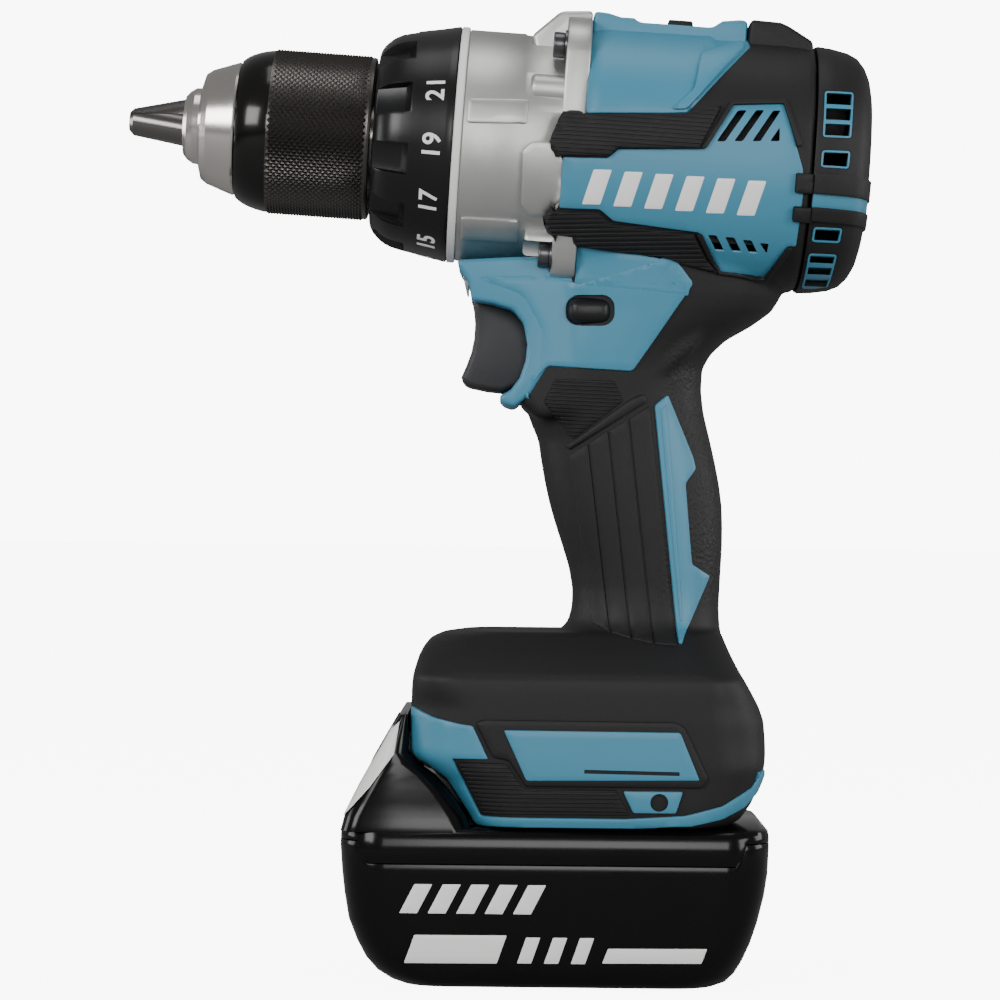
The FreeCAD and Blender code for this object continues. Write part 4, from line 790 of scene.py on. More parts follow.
# ---------------------------------------------------------------- chuck
@dataclass
class Chuck:
    """Steel nose with its three jaw bores, and knurled sleeve."""

    finishes: dict[str, bpy.types.Material]
    around: int = 156
    along: int = 34
    knurl_start: float = -90.6
    knurl_end: float = -63.6
    depth: float = 0.62

    def build(self) -> None:
        """Builds the sleeve and the nose."""
        self._sleeve()
        self._nose()

    def _sleeve(self) -> None:
        """The black sleeve: a smooth collar and a diamond knurl cut by two families of grooves."""
        rows = [(-99.35, 17.4), (-99.35, 19.1), (-98.4, 19.9), (-97.0, 20.7), (-95.4, 21.35), (-93.6, 21.9),
                (-91.6, 22.3),
                (-90.9, 22.35)]
        step = (self.knurl_end - self.knurl_start) / self.along
        profile: list[tuple[float, Optional[float]]] = [(a, r) for a, r in rows]
        profile += [(self.knurl_start + step * j, None) for j in range(self.along + 1)]
        profile += [(-63.2, 22.45), (-62.6, 22.3), (-62.4, 21.9), (-62.4, 19.6)]
        points: list[Vector] = []
        for j, (a, radius) in enumerate(profile):
            for i in range(self.around):
                t = 2 * math.pi * i / self.around
                r = radius
                if r is None:
                    ends = j in (len(rows), len(rows) + self.along)
                    r = 22.35 if ends else 22.85 - (self.depth if (i + j) % 2 else 0.0)
                points.append(HEAD_MATRIX @ Vector((a, r * math.cos(t), r * math.sin(t))))
        faces: list[tuple[int, ...]] = []
        for j in range(len(profile) - 1):
            for i in range(self.around):
                p, q = j * self.around + i, j * self.around + (i + 1) % self.around
                r, s = q + self.around, p + self.around
                if profile[j][1] is None and profile[j + 1][1] is None:
                    faces += [(p, q, s), (q, r, s)] if (i + j) % 2 == 0 else [(p, q, r), (p, r, s)]
                else:
                    faces.append((p, q, r, s))
        last = (len(profile) - 1) * self.around
        faces += [(last + i, last + (i + 1) % self.around, (i + 1) % self.around, i)
                  for i in range(self.around)]
        sleeve = tidy_mesh(mesh_piece("knurled_sleeve", points, faces), 0.001)
        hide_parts("chuck_sleeve")
        dress(sleeve, self.finishes["knurl"], "chuck_sleeve", 20.0)
        sleeve.data.materials.append(self.finishes["collar"])
        front = (HEAD_MATRIX @ Vector((self.knurl_start, 0.0, 0.0))) * MM
        axis = HEAD_MATRIX.to_3x3() @ Vector((1.0, 0.0, 0.0))
        for face in sleeve.data.polygons:
            if (face.center - front).dot(axis) < 0.0:
                face.material_index = 1

    def _nose(self) -> None:
        """The brushed steel nose with its three jaw bores."""
        nose = turned("steel_nose", [
            (-114.6, 6.8), (-114.6, 8.2), (-113.6, 9.4), (-111.9, 10.5), (-110.2, 10.6), (-110.2, 11.4),
            (-109.3, 14.6),
            (-107.7, 15.8), (-100.4, 18.4), (-99.8, 18.2), (-99.8, 10.2), (-93.2, 10.2),
            (-93.2, 19.0), (-64.2, 19.0), (-64.2, 6.4), (-78.0, 6.4)], 160)
        for k in range(3):
            nose = cut_away(nose, self._bore(120.0 * k))
        soften(nose, 0.14, 2, 12)
        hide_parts("chuck_body")
        dress(nose, self.finishes["steel"], "spindle", 9.0)

    def _bore(self, turn: float) -> bpy.types.Object:
        """A slanting cylinder through the nose for one jaw.

        Args:
            turn: degrees about the axis from the first jaw.

        Returns:
            The cutter.
        """
        deselect()
        slope = math.radians(14.0)
        along = Vector((math.cos(slope), 0, math.sin(slope)))
        out = 3.4 - 4.2 / math.cos(slope)
        middle = Vector((-130.0, 0, out)) + along * 33.0
        bpy.ops.mesh.primitive_cylinder_add(vertices=64, radius=4.28 * MM, depth=60 * MM)
        bore = bpy.context.object
        head = Matrix.Translation(HEAD_MATRIX.translation * MM) @ HEAD_MATRIX.to_3x3().to_4x4()
        spot = Matrix.Rotation(math.radians(turn), 4, "X") @ Matrix.Translation(middle * MM) \
            @ along.to_track_quat("Z", "Y").to_matrix().to_4x4()
        bore.data.transform(head @ spot)
        return bore


# ---------------------------------------------------------------- torque ring
@dataclass
class TorqueRing:
    """The black ring with finger recesses and white numbers, and the pale trim ring behind it."""

    finishes: dict[str, bpy.types.Material]
    recesses: int = 11
    first_angle: float = 68.0
    number_step: float = 14.4
    highest: int = 21

    def radius(self, a: float) -> float:
        """The ring's outer radius at a place along the axis."""
        table = [(-61.6, 23.8), (-61.0, 25.2), (-59.6, 26.9), (-58.3, 28.1), (-55.6, 29.5), (-51.0, 30.5),
                 (-45.6, 31.5), (-39.8, 32.6)]
        for (a0, r0), (a1, r1) in zip(table, table[1:]):
            if a <= a1:
                return r0 + (r1 - r0) * max(0.0, (a - a0) / (a1 - a0))
        return table[-1][1]

    def build(self) -> None:
        """Builds the ring, its numbers and the trim ring."""
        outer = [(-61.6, 21.0), (-61.6, 23.6), (-61.4, 24.4), (-61.0, 25.2), (-60.4, 26.1), (-59.6, 26.95),
                 (-58.3, 28.1),
                 (-57.0, 28.9), (-55.6, 29.5), (-53.5, 30.05), (-51.0, 30.55), (-48.0, 31.1), (-45.6, 31.5),
                 (-42.0, 32.25),
                 (-40.2, 32.6), (-39.8, 32.5), (-39.8, 26.0), (-49.6, 26.0), (-50.4, 24.6), (-58.4, 24.6),
                 (-58.4, 21.0)]
        ring = turned("numbered_ring", outer, 180)
        for k in range(self.recesses):
            ring = cut_away(ring, self._recess(360.0 / self.recesses * k + 72.0))
        soften(ring, 0.3, 2, 28)
        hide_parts("torque_ring")
        dress(ring, self.finishes["ring"], "torque_ring")
        for number in range(1, self.highest + 1):
            if number % 2:
                self._number(str(number), self.first_angle + (self.highest - number) * self.number_step)
        trim = turned("pale_trim_ring", [(-39.6, 27.0), (-39.6, 32.3), (-39.3, 32.65), (-37.7, 32.65),
                                         (-37.4, 32.3), (-37.4, 27.0)], 144)
        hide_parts("trim_ring")
        dress(trim, self.finishes["pale"], "housing")

    def _recess(self, angle: float) -> bpy.types.Object:
        """A cutter for one finger recess, with a ramp at its rear.

        Args:
            angle: degrees from the top towards the left side.

        Returns:
            The cutter.
        """
        side = [(-63.0, 24.4), (-60.8, 25.0), (-53.2, 27.2), (-51.6, 29.8), (-50.6, 36.0), (-63.0, 36.0)]
        points = []
        turn = Matrix.Rotation(math.radians(angle), 4, "X")
        for y, flare in ((-3.7, -0.12), (3.7, 0.12)):
            points += [HEAD_MATRIX @ (turn @ Vector((a, y + flare * (r - 25.0), r))) for a, r in side]
        count = len(side)
        faces = [tuple(range(count)), tuple(reversed(range(count, 2 * count)))]
        faces += [(i, i + count, (i + 1) % count + count, (i + 1) % count) for i in range(count)]
        return tidy_mesh(mesh_piece("recess", points, faces))

    def _number(self, text: str, angle: float) -> None:
        """Prints one number on the ring, read upwards.

        Args:
            text: the digits.
            angle: degrees from the top towards the left side.
        """
        deselect()
        bpy.ops.object.text_add()
        label = bpy.context.object
        label.data.body = text
        label.data.align_x = "CENTER"
        label.data.align_y = "CENTER"
        label.data.size = 6.9
        label.data.offset = 0.13
        label.data.space_character = 1.1
        label.data.extrude = 0.12
        label.data.resolution_u = 4
        bpy.ops.object.convert(target="MESH")
        label = bpy.context.object
        label.name = f"ring_number_{text}"
        modify(label, "TRIANGULATE")
        for vertex in label.data.vertices:
            along, up, out = vertex.co
            a = -45.0 - up
            r = self.radius(a) + out + 0.02
            t = math.radians(angle) - along / 32.0
            vertex.co = (HEAD_MATRIX @ Vector((a, -r * math.sin(t), r * math.cos(t)))) * MM
        tidy_mesh(label, 0.0005)
        dress(label, self.finishes["white"], "torque_ring")


CASE_SCREWS = ((-24.6, 26.6), (24.6, 26.6), (-20.2, -30.0), (20.2, -30.0))


# ---------------------------------------------------------------- gear case
@dataclass
class GearCase:
    """The bead-blasted gear case with its ridge, pads, bosses and flange."""

    finishes: dict[str, bpy.types.Material]

    def build(self) -> None:
        """Builds the case and its pads."""
        case = turned("cast_gear_case", [
            (-60.4, 14.5), (-60.4, 19.6), (-59.8, 20.2), (-37.4, 20.2), (-37.4, 31.6), (-37.0, 32.0),
            (-22.0, 32.0), (-21.4, 31.6),
            (-1.6, 31.6), (-1.6, 24.4), (-28.0, 24.4), (-28.0, 13.6), (-53.0, 13.6), (-53.0, 14.5)], 160)
        flange = self._flange()
        ridge = prism("ridge", [(-20.4, 30.0), (-12.9, 37.2), (-4.1, 37.9), (-4.1, 26.0), (-19.0, 26.0)],
                      -16.0, 16.0,
                      Frame.HEAD)
        case = cut_away(case, soften(flange, 0.6, 2), "UNION")
        case = cut_away(case, soften(ridge, 1.2, 3), "UNION")
        for y, z, length in ((-25.6, 14.0, 9.8), (-18.2, -26.6, 8.8), (25.6, 14.0, 9.8), (18.2, -26.6, 8.8)):
            case = cut_away(case, self._boss(y, z, length), "UNION")
        for y, z in CASE_SCREWS:
            case = cut_away(case, self._tube(y, z, 4.1, -24.0, -11.0))
        soften(case, 0.3, 2, 40)
        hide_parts("gear_case")
        dress(case, self.finishes["cast"], "housing", 40.0)
        skin = Skin(case)
        pads = {"upper_pad": ([(-36.2, 9.6), (-19.9, 10.6), (-19.9, 3.9), (-36.0, 2.9)], 0.7),
                "lower_pad": ([(-36.2, -21.6), (-20.2, -21.3), (-20.2, -27.0), (-36.0, -27.2)], 0.7),
                "face_pad": ([(-20.6, -3.4), (-18.1, -0.6), (-13.4, -0.4), (-8.9, -5.2), (-8.9, -14.8),
                              (-13.2, -19.8),
                              (-17.6, -20.0), (-20.2, -17.2)], 1.0)}

        def lay(side: Side, word: str) -> None:
            """Lays the pads on one side."""
            for name, (outline, lift) in pads.items():
                pad = skin.panel(f"{name}_{word}", outline, lift, side, Frame.HEAD, edge=0.5, corner=0.9)
                dress(pad, self.finishes["cast"], "housing", 40.0)

        both_sides(lay)
        self._screws()
        pointer = self._pointer()
        dress(pointer, self.finishes["white"], "housing")

    def _screws(self) -> None:
        """The four socket-head screws with their washers."""
        screws = []
        for y, z in CASE_SCREWS:
            head = soften(self._tube(y, z, 3.5, -14.4, -11.2), 0.4, 3)
            head = cut_away(head, self._tube(y, z, 1.8, -16.0, -12.8))
            for radius, front, back in ((4.2, -11.3, -10.7), (2.0, -10.9, -5.0)):
                head = cut_away(head, self._tube(y, z, radius, front, back), "UNION")
            screws.append(head)
        deselect()
        for screw in screws:
            screw.select_set(True)
        bpy.context.view_layer.objects.active = screws[0]
        bpy.ops.object.join()
        screws[0].name = "case_screw_heads"
        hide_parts("gear_case_screws")
        dress(screws[0], self.finishes["dark_steel"], "housing")

    def _flange(self) -> bpy.types.Object:
        """The bolting flange between the case and the motor housing."""
        ring = [(29.6, 24.0), (28.2, 29.0), (24.0, 33.2), (18.0, 35.4), (-18.0, 35.4), (-24.0, 33.2),
                (-28.2, 29.0),
                (-29.6, 24.0), (-30.6, 8.0), (-30.2, -14.0), (-25.6, -25.0), (-24.4, -31.0), (-21.0, -35.4),
                (-17.0, -36.4), (17.0, -36.4), (21.0, -35.4), (24.4, -31.0), (25.6, -25.0), (30.2, -14.0),
                (30.6, 8.0)]
        points = [HEAD_MATRIX @ Vector((a, y, z)) for a in (-10.8, -4.1) for y, z in ring]
        count = len(ring)
        faces = [tuple(range(count)), tuple(reversed(range(count, 2 * count)))]
        faces += [(i, i + count, (i + 1) % count + count, (i + 1) % count) for i in range(count)]
        return tidy_mesh(mesh_piece("flange", points, faces))

    def _tube(self, y: float, z: float, radius: float, front: float, back: float) -> bpy.types.Object:
        """A cylinder along the head's axis direction."""
        deselect()
        bpy.ops.mesh.primitive_cylinder_add(vertices=48, radius=radius * MM, depth=(back - front) * MM,
                                            location=((front + back) / 2 * MM, y * MM, z * MM),
                                            rotation=(0, math.pi / 2, 0))
        bpy.ops.object.transform_apply(location=True, rotation=True, scale=True)
        return to_head(bpy.context.object)

    def _boss(self, y: float, z: float, length: float) -> bpy.types.Object:
        """A rounded boss in front of the flange."""
        return soften(self._tube(y, z, 4.3, -9.9 - length, -8.8), 1.2, 3)

    def _pointer(self) -> bpy.types.Object:
        """The white mark on top that the numbers are read against."""
        points = []
        for a, half in ((-33.5, 0.5), (-29.0, 1.6)):
            for y in (-half, half):
                for r in (31.7, 32.12):
                    t = y / 32.0
                    points.append(HEAD_MATRIX @ Vector((a, r * math.sin(t), r * math.cos(t))))
        faces = [(0, 1, 3, 2), (4, 6, 7, 5), (0, 4, 5, 1), (2, 3, 7, 6), (1, 5, 7, 3), (0, 2, 6, 4)]
        return tidy_mesh(mesh_piece("ring_pointer", points, faces), 0.001)


# ---------------------------------------------------------------- body
GRIP_RINGS = [
    (206, -12, 60, 24.0), (200, -12, 62, 24.0), (192, -11, 62, 23.0), (188, -11, 61, 22.6),
    (184, -10, 58.5, 22), (180, -9.5, 53, 21.5),
    (176, -9, 46, 21), (172, -9, 41.8, 20.5), (168, -9, 39.6, 20), (162, -9, 39.3, 19.6),
    (156, -9, 40, 19.3), (152, -7.6, 41, 19.1),
    (148, -5.8, 42, 19), (142, -4.9, 43.4, 19), (136, -3.8, 44.6, 19), (130, -2.4, 45.4, 18.9),
    (125, -0.9, 45.6, 18.8),
    (119, 1.1, 45.6, 18.6), (113, 3.0, 45.3, 18.4), (107, 4.1, 45, 18.2), (102, 4.0, 44.8, 18.5),
    (98, 3.0, 45, 19.3), (95, 0.4, 45.4, 20.8),
    (92, -4, 46.4, 23.2), (89, -11, 48, 26.5), (86, -18, 49, 30.0),
]
BASE_RINGS = [
    (43.8, -21.8, 46, 37.4, 12), (45.5, -22.6, 49.5, 38.0, 13), (50, -25.4, 52.8, 38.5, 14),
    (56, -29.5, 55.2, 38.8, 15),
    (59.6, -34.4, 56.2, 39.0, 15), (62.6, -39.2, 56.5, 39.0, 16), (66, -39.7, 56.5, 39.0, 17),
    (72, -39.8, 56.0, 39.0, 17),
    (76, -39.7, 54.6, 38.9, 17), (80, -39.6, 52.3, 38.8, 14), (83.6, -39.3, 50.2, 38.5, 12),
    (85.2, -38.9, 49.2, 36.6, 12),
    (89.5, -37.6, 47.2, 30.4, 12), (92.6, -35.2, 46.0, 25.4, 12), (94.4, -31.5, 45.4, 22.6, 12),
    (95.4, -25.0, 45.0, 20.6, 11),
]


@dataclass
class Body:
    """The soft-grip body: core, raised panels, bands, vents, frame, grip and base details."""

    finishes: dict[str, bpy.types.Material]
    voxel: float = 0.9
    smoothing: int = 8

    def build(self) -> None:
        """Builds the core and everything that is laid on it."""
        core = self._core()
        self.skin = Skin(core)
        cutters = self._slots()
        self._cut(core, cutters)
        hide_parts("housing_left", "housing_right", "overmould_left", "overmould_right")
        dress(core, self.finishes["rubber"], "housing", 60.0)
        both_sides(self._motor_panels)
        both_sides(self._grip_panels)
        both_sides(self._base_panels)
        self._spine()
        self._frame()

    def _core(self) -> bpy.types.Object:
        """Motor drum, grip, base and frame, blended into one soft form."""
        rings = []
        for a, half, up, down in ((-4.0, 33.2, 33.4, 33.4), (-2.6, 34.2, 34.2, 34.0), (0.0, 34.6, 34.4, 34.2),
                                  (30.0, 35.0, 34.6, 34.3), (50.0, 34.8, 34.4, 34.3),
                                  (56.4, 34.4, 34.0, 34.0),
                                  (57.3, 33.8, 33.4, 33.4)):
            rings.append(self._drum_ring(a, half, up, down))
        core = loft("soft_grip_body", rings)
        cheeks = loft("cheeks", [self._drum_ring(a, 33.6, 33.6, 33.6) for a in (-16.0, 0.0)])
        face = prism("face", [(-12.4, -0.4), (-9.9, 6.8), (0.0, 7.6), (0.0, -26.2), (-10.0, -25.6),
                              (-12.8, -20.3),
                              (-10.8, -18.4), (-9.8, -17.6), (-9.8, -4.6), (-10.6, -3.8)],
                     -40.0, 40.0, Frame.HEAD)
        cheeks = cut_away(cheeks, face, "INTERSECT")
        cheeks = cut_away(cheeks, prism("middle",
                                        [(-20.0, -30.0), (-20.0, 12.0), (2.0, 12.0), (2.0, -30.0)], -23.0,
                                        23.0, Frame.HEAD))
        grip = loft("grip", [oval(f, b, h, z) for z, f, b, h in GRIP_RINGS])
        base = loft("base", [slab_ring(f, b, h, z, c) for z, f, b, h, c in BASE_RINGS])
        spine = prism("spine", [(38.4, 20.0), (38.4, 38.4), (47.0, 38.2), (55.8, 33.4), (55.8, 20.0)],
                      -14.6, 14.6,
                      Frame.HEAD)
        neck = prism("neck", [(-3.4, -22.0), (27.0, -24.0), (30.0, -34.0), (27.0, -41.0), (-3.4, -39.5)],
                     -21.0, 21.0,
                     Frame.HEAD)
        soften(neck, 2.5, 3)
        slab = prism("slab", FrameOutline.CORE.value, -18.6, 18.6)
        soften(spine, 2.0, 3)
        soften(slab, 3.0, 3)
        deselect()
        for part in (grip, base, spine, slab, neck, cheeks, core):
            part.select_set(True)
        bpy.context.view_layer.objects.active = core
        bpy.ops.object.join()
        modify(core, "REMESH", mode="VOXEL", voxel_size=self.voxel * MM, adaptivity=0.0)
        modify(core, "SMOOTH", factor=0.5, iterations=self.smoothing)
        return core

    def _drum_ring(self, a: float, half: float, up: float, down: float) -> list[Vector]:
        """One squarish ring of the motor drum.

        Args:
            a: place along the head's axis.
            half: half width.
            up: height above the axis.
            down: depth below it.

        Returns:
            The ring's corners.
        """
        ring = []
        for i in range(96):
            t = 2 * math.pi * i / 96
            y = half * math.copysign(abs(math.cos(t)) ** (2 / 2.35), math.cos(t))
            z = math.copysign(abs(math.sin(t)) ** (2 / 2.35), math.sin(t))
            ring.append(HEAD_MATRIX @ Vector((a, y, z * (up if z > 0 else down))))
        return ring

    def _cut(self, piece: bpy.types.Object, cutters: Sequence[bpy.types.Object]) -> None:
        """Cuts copies of the slot cutters out of a piece."""
        for cutter in cutters:
            copy = cutter.copy()
            copy.data = cutter.data.copy()
            bpy.context.collection.objects.link(copy)
            cut_away(piece, copy)
        for cutter in cutters:
            bpy.data.objects.remove(cutter, do_unlink=True)

    def _slots(self) -> list[bpy.types.Object]:
        """Cutters for the cooling slots on both sides."""
        shapes = [[(31.0, 2.6), (33.2, 2.7), (38.5, 11.6), (36.2, 11.4)],
                  [(35.7, 3.0), (37.9, 3.1), (43.2, 12.0), (41.0, 11.8)],
                  [(40.5, 3.3), (42.7, 3.5), (47.6, 12.2), (45.6, 12.1)],
                  [(45.3, 3.7), (47.8, 3.9), (47.6, 7.6)],
                  [(30.8, -22.1), (33.1, -22.1), (37.9, -29.0), (35.7, -29.1)],
                  [(35.5, -22.3), (38.0, -22.3), (42.5, -29.1), (40.2, -29.2)],
                  [(40.3, -22.7), (42.7, -22.7), (47.0, -29.3), (45.0, -29.4)],
                  [(44.9, -23.2), (47.4, -23.2), (47.2, -25.7)]]
        cutters = []
        for side in Side:
            for k, outline in enumerate(shapes):
                low, high = (26.0, 40.0) if side is Side.RIGHT else (-40.0, -26.0)
                cutters.append(prism(f"slot_{k}", [(p.x, p.y) for p in rounded(outline, 0.5, 3.0)], low,
                                     high, Frame.HEAD))
        return cutters

    def _motor_panels(self, side: Side, word: str) -> None:
        """Panels and bands on the motor end."""
        centre = self.skin.panel(f"centre_panel_{word}", [
            (-9.6, -4.4), (2.2, -4.0), (4.8, -1.4), (27.6, 0.4), (34.7, 12.8), (48.3, 14.4), (52.4, 3.0),
            (54.6, -3.0), (55.2, -10.0),
            (54.8, -23.2), (52.5, -23.4), (47.6, -31.6), (35.2, -31.2), (28.4, -21.6), (5.1, -20.2),
            (1.2, -17.5), (-9.6, -17.8)], 0.35, side, Frame.HEAD, edge=0.25, corner=0.5)
        self._cut(centre, self._slots())
        dress(centre, self.finishes["blue"], "housing")
        rims = {"upper": [(26.9, 0.0), (34.2, 13.6), (49.0, 15.2), (54.0, 3.2), (52.6, 2.6), (48.2, 13.9),
                          (34.9, 12.6), (28.4, 0.6)],
                "lower": [(27.6, -21.8), (34.6, -32.0), (48.2, -32.4), (54.0, -23.6), (52.6, -23.2),
                          (47.5, -31.2), (35.3, -31.0), (29.0, -21.6)]}
        for name, outline in rims.items():
            rim = self.skin.panel(f"vent_rim_{name}_{word}", outline, 1.3, side, Frame.HEAD, edge=0.3,
                                  corner=0.5, spacing=1.0)
            dress(rim, self.finishes["rubber"], "housing")
        upper = self.skin.panel(f"upper_panel_{word}", [
            (-3.9, 33.2), (-3.9, 7.6), (18.0, 9.1), (22.8, 9.6), (30.0, 18.8), (39.2, 30.4), (38.6, 33.4)],
            0.9, side, Frame.HEAD,
            edge=0.35, corner=0.6, shape=lambda a, z: -0.8 if a > 24 + (z - 12) * 0.28 - 0.6 else 0.0)
        dress(upper, self.finishes["blue"], "housing")
        ridge = self.skin.panel(f"upper_facet_{word}",
                                [(18.2, 10.0), (22.4, 10.2), (37.6, 29.6), (36.6, 31.2), (25.4, 26.2),
                                 (24.0, 16.0)],
                                1.7, side, Frame.HEAD, edge=0.7, corner=1.2)
        dress(ridge, self.finishes["blue"], "housing")
        low = self.skin.panel(f"lower_panel_{word}",
                              [(-3.8, -26.8), (15.2, -28.4), (21.6, -29.4), (27.4, -34.4), (27.0, -38.4),
                               (-3.6, -37.6)],
                              0.9, side, Frame.HEAD, edge=0.35, corner=0.6)
        dress(low, self.finishes["blue"], "housing")
        upper_band = self.skin.panel(f"upper_band_{word}", [
            (-10.1, 6.9), (-3.9, 7.0), (22.8, 9.4), (31.8, 12.2), (26.6, 0.2), (4.6, -1.2), (2.6, -3.4),
            (-10.4, -4.0), (-12.6, -0.5)],
            1.9, side, Frame.HEAD, edge=0.6, corner=0.5)
        dress(upper_band, self.finishes["band"], "housing")
        lower_band = self.skin.panel(f"lower_band_{word}", [
            (-12.9, -20.3), (-10.5, -18.3), (0.9, -18.0), (4.6, -20.6), (27.2, -21.9), (34.2, -31.6),
            (24.0, -29.9), (20.0, -28.4),
            (-9.8, -26.0)], 1.9, side, Frame.HEAD, edge=0.6, corner=0.5)
        dress(lower_band, self.finishes["low_band"], "housing")
        for k, (z, high) in enumerate(((-6.8, 5.2), (-14.8, 3.8))):
            bumper = self.skin.panel(f"side_bumper_{k}_{word}",
                                     [(52.8, z + high / 2), (57.2, z + high / 2), (57.2, z - high / 2),
                                                                (52.8, z - high / 2)], 2.1, side,
                                                                Frame.HEAD, edge=0.6, corner=0.6)
            dress(bumper, self.finishes["rubber"], "housing")
        for k in range(6):
            mark = self.skin.panel(f"side_mark_{k}_{word}",
                                   [(-1.2 + 8.3 * k, -7.2), (3.6 + 8.3 * k, -7.0), (1.2 + 8.3 * k, -16.2),
                                                            (-3.6 + 8.3 * k, -16.4)], 0.42, side,
                                                            Frame.HEAD, edge=0.04, corner=0.4)
            dress(mark, self.finishes["white"], "housing")

    def _spine(self) -> None:
        """The blue top with the selector slot, and the black pad behind it."""
        top = prism("spine_top", [(-3.9, 26.0), (-3.9, 37.9), (0.0, 37.7), (3.6, 36.8), (26.0, 37.0),
                                  (36.0, 38.4),
                                  (38.3, 38.3), (38.3, 26.0)], -15.6, 15.6, Frame.HEAD)
        soften(top, 1.2, 3)
        slot = prism("slot", [(2.6, 34.3), (2.6, 45.0), (35.0, 45.0), (35.0, 34.3)], -8.2, 8.2, Frame.HEAD)
        top = cut_away(top, soften(slot, 1.2, 3))
        scoop = prism("scoop", [(4.4, 39.0), (8.6, 35.6), (28.6, 35.6), (33.6, 39.4)], -20.0, 20.0,
                      Frame.HEAD)
        top = cut_away(top, soften(scoop, 1.0, 3))
        dress(top, self.finishes["blue"], "housing")
        pad = prism("top_pad", [(38.5, 28.0), (38.7, 38.2), (39.8, 38.6), (47.2, 38.4), (49.4, 37.6),
                                (56.4, 33.8), (57.0, 28.0)],
                    -16.4, 16.4, Frame.HEAD)
        soften(pad, 1.2, 3)
        dress(pad, self.finishes["rubber"], "housing")

    def _frame(self) -> None:
        """The blue frame around the trigger, the lever and the lamp."""
        slab = prism("trigger_frame", FrameOutline.FRONT.value, -19.2, 19.2)
        soften(slab, 2.6, 4, 25)
        mouth = prism("mouth", [(-40, 188.0), (0.4, 188.0), (0.4, 160.0), (-40, 160.0)], -9.1, 9.1)
        slab = cut_away(slab, mouth)
        lever = prism("lever", [(1.2, 187.0), (14.2, 187.0), (14.2, 179.0), (1.2, 179.0)], -40, 40)
        slab = cut_away(slab, soften(lever, 3.2, 5))
        lamp = prism("lamp", [(-40, 193.6), (-25.4, 193.6), (-25.4, 187.7), (-40, 187.7)], -6.0, 6.0)
        slab = cut_away(slab, lamp)
        dress(slab, self.finishes["blue"], "housing")

        def panel(side: Side, word: str) -> None:
            """The side panel of the frame and its raised border."""
            face = self.skin.panel(f"frame_panel_{word}", FrameOutline.SIDE.value, 0.9, side, edge=0.5,
                                   corner=1.2)
            hole = prism("hole", [(1.0, 187.2), (14.4, 187.2), (14.4, 178.8), (1.0, 178.8)], -40, 40)
            face = cut_away(face, soften(hole, 3.4, 5))
            dress(face, self.finishes["blue"], "housing")

        both_sides(panel)

    def _grip_panels(self, side: Side, word: str) -> None:
        """Ribbed panel, smooth strips and blue insert on the grip."""
        ribbed = self.skin.panel(f"grip_ribs_{word}",
                                 [(-1.4, 164.4), (14.6, 163.9), (17.2, 158.5), (3.4, 147.8), (-4.6, 158.0)],
                                 0.35, side,
                                 edge=0.3, corner=1.0)
        dress(ribbed, self.finishes["grip_ribs"], "housing")
        ridge = self.skin.panel(f"grip_ridge_{word}",
                                [(1.2, 146.4), (2.6, 145.0), (23.6, 158.4), (22.6, 160.6), (18.4, 158.6),
                                 (3.6, 147.2)],
                                0.75, side, edge=0.5, corner=0.8)
        dress(ridge, self.finishes["rubber"], "housing")
        edges = [((2.4, 143.4), (9.3, 97.9)), ((7.9, 146.8), (14.4, 95.4)), ((13.2, 150.3), (19.9, 93.9)),
                 ((18.6, 153.6), (25.9, 92.6)),
                 ((24.4, 157.2), (32.2, 92.2))]
        for k, (front, back) in enumerate(zip(edges, edges[1:])):
            gap = 0.22
            outline = [(front[0][0] + gap, front[0][1]), (back[0][0] - gap, back[0][1]),
                       (back[1][0] - gap, back[1][1]),
                       (front[1][0] + gap, front[1][1])]
            strip = self.skin.panel(f"grip_strip_{k}_{word}", outline, 0.45, side, edge=0.25, corner=0.35)
            dress(strip, self.finishes["rubber"], "housing")
        insert = self.skin.panel(f"grip_insert_{word}", [
            (29.1, 160.4), (25.6, 157.4), (32.6, 92.8), (33.4, 92.6), (41.2, 111.0), (36.2, 114.2),
            (34.2, 136.2), (37.0, 140.2), (36.2, 143.4)],
            0.8, side, edge=0.35, corner=0.7)
        dress(insert, self.finishes["blue"], "housing")
        face = self.skin.panel(f"grip_insert_face_{word}", [
            (28.7, 157.8), (27.0, 156.2), (33.0, 98.6), (33.8, 98.6)], 1.0, side, edge=0.2, corner=0.3)
        dress(face, self.finishes["blue"], "housing")

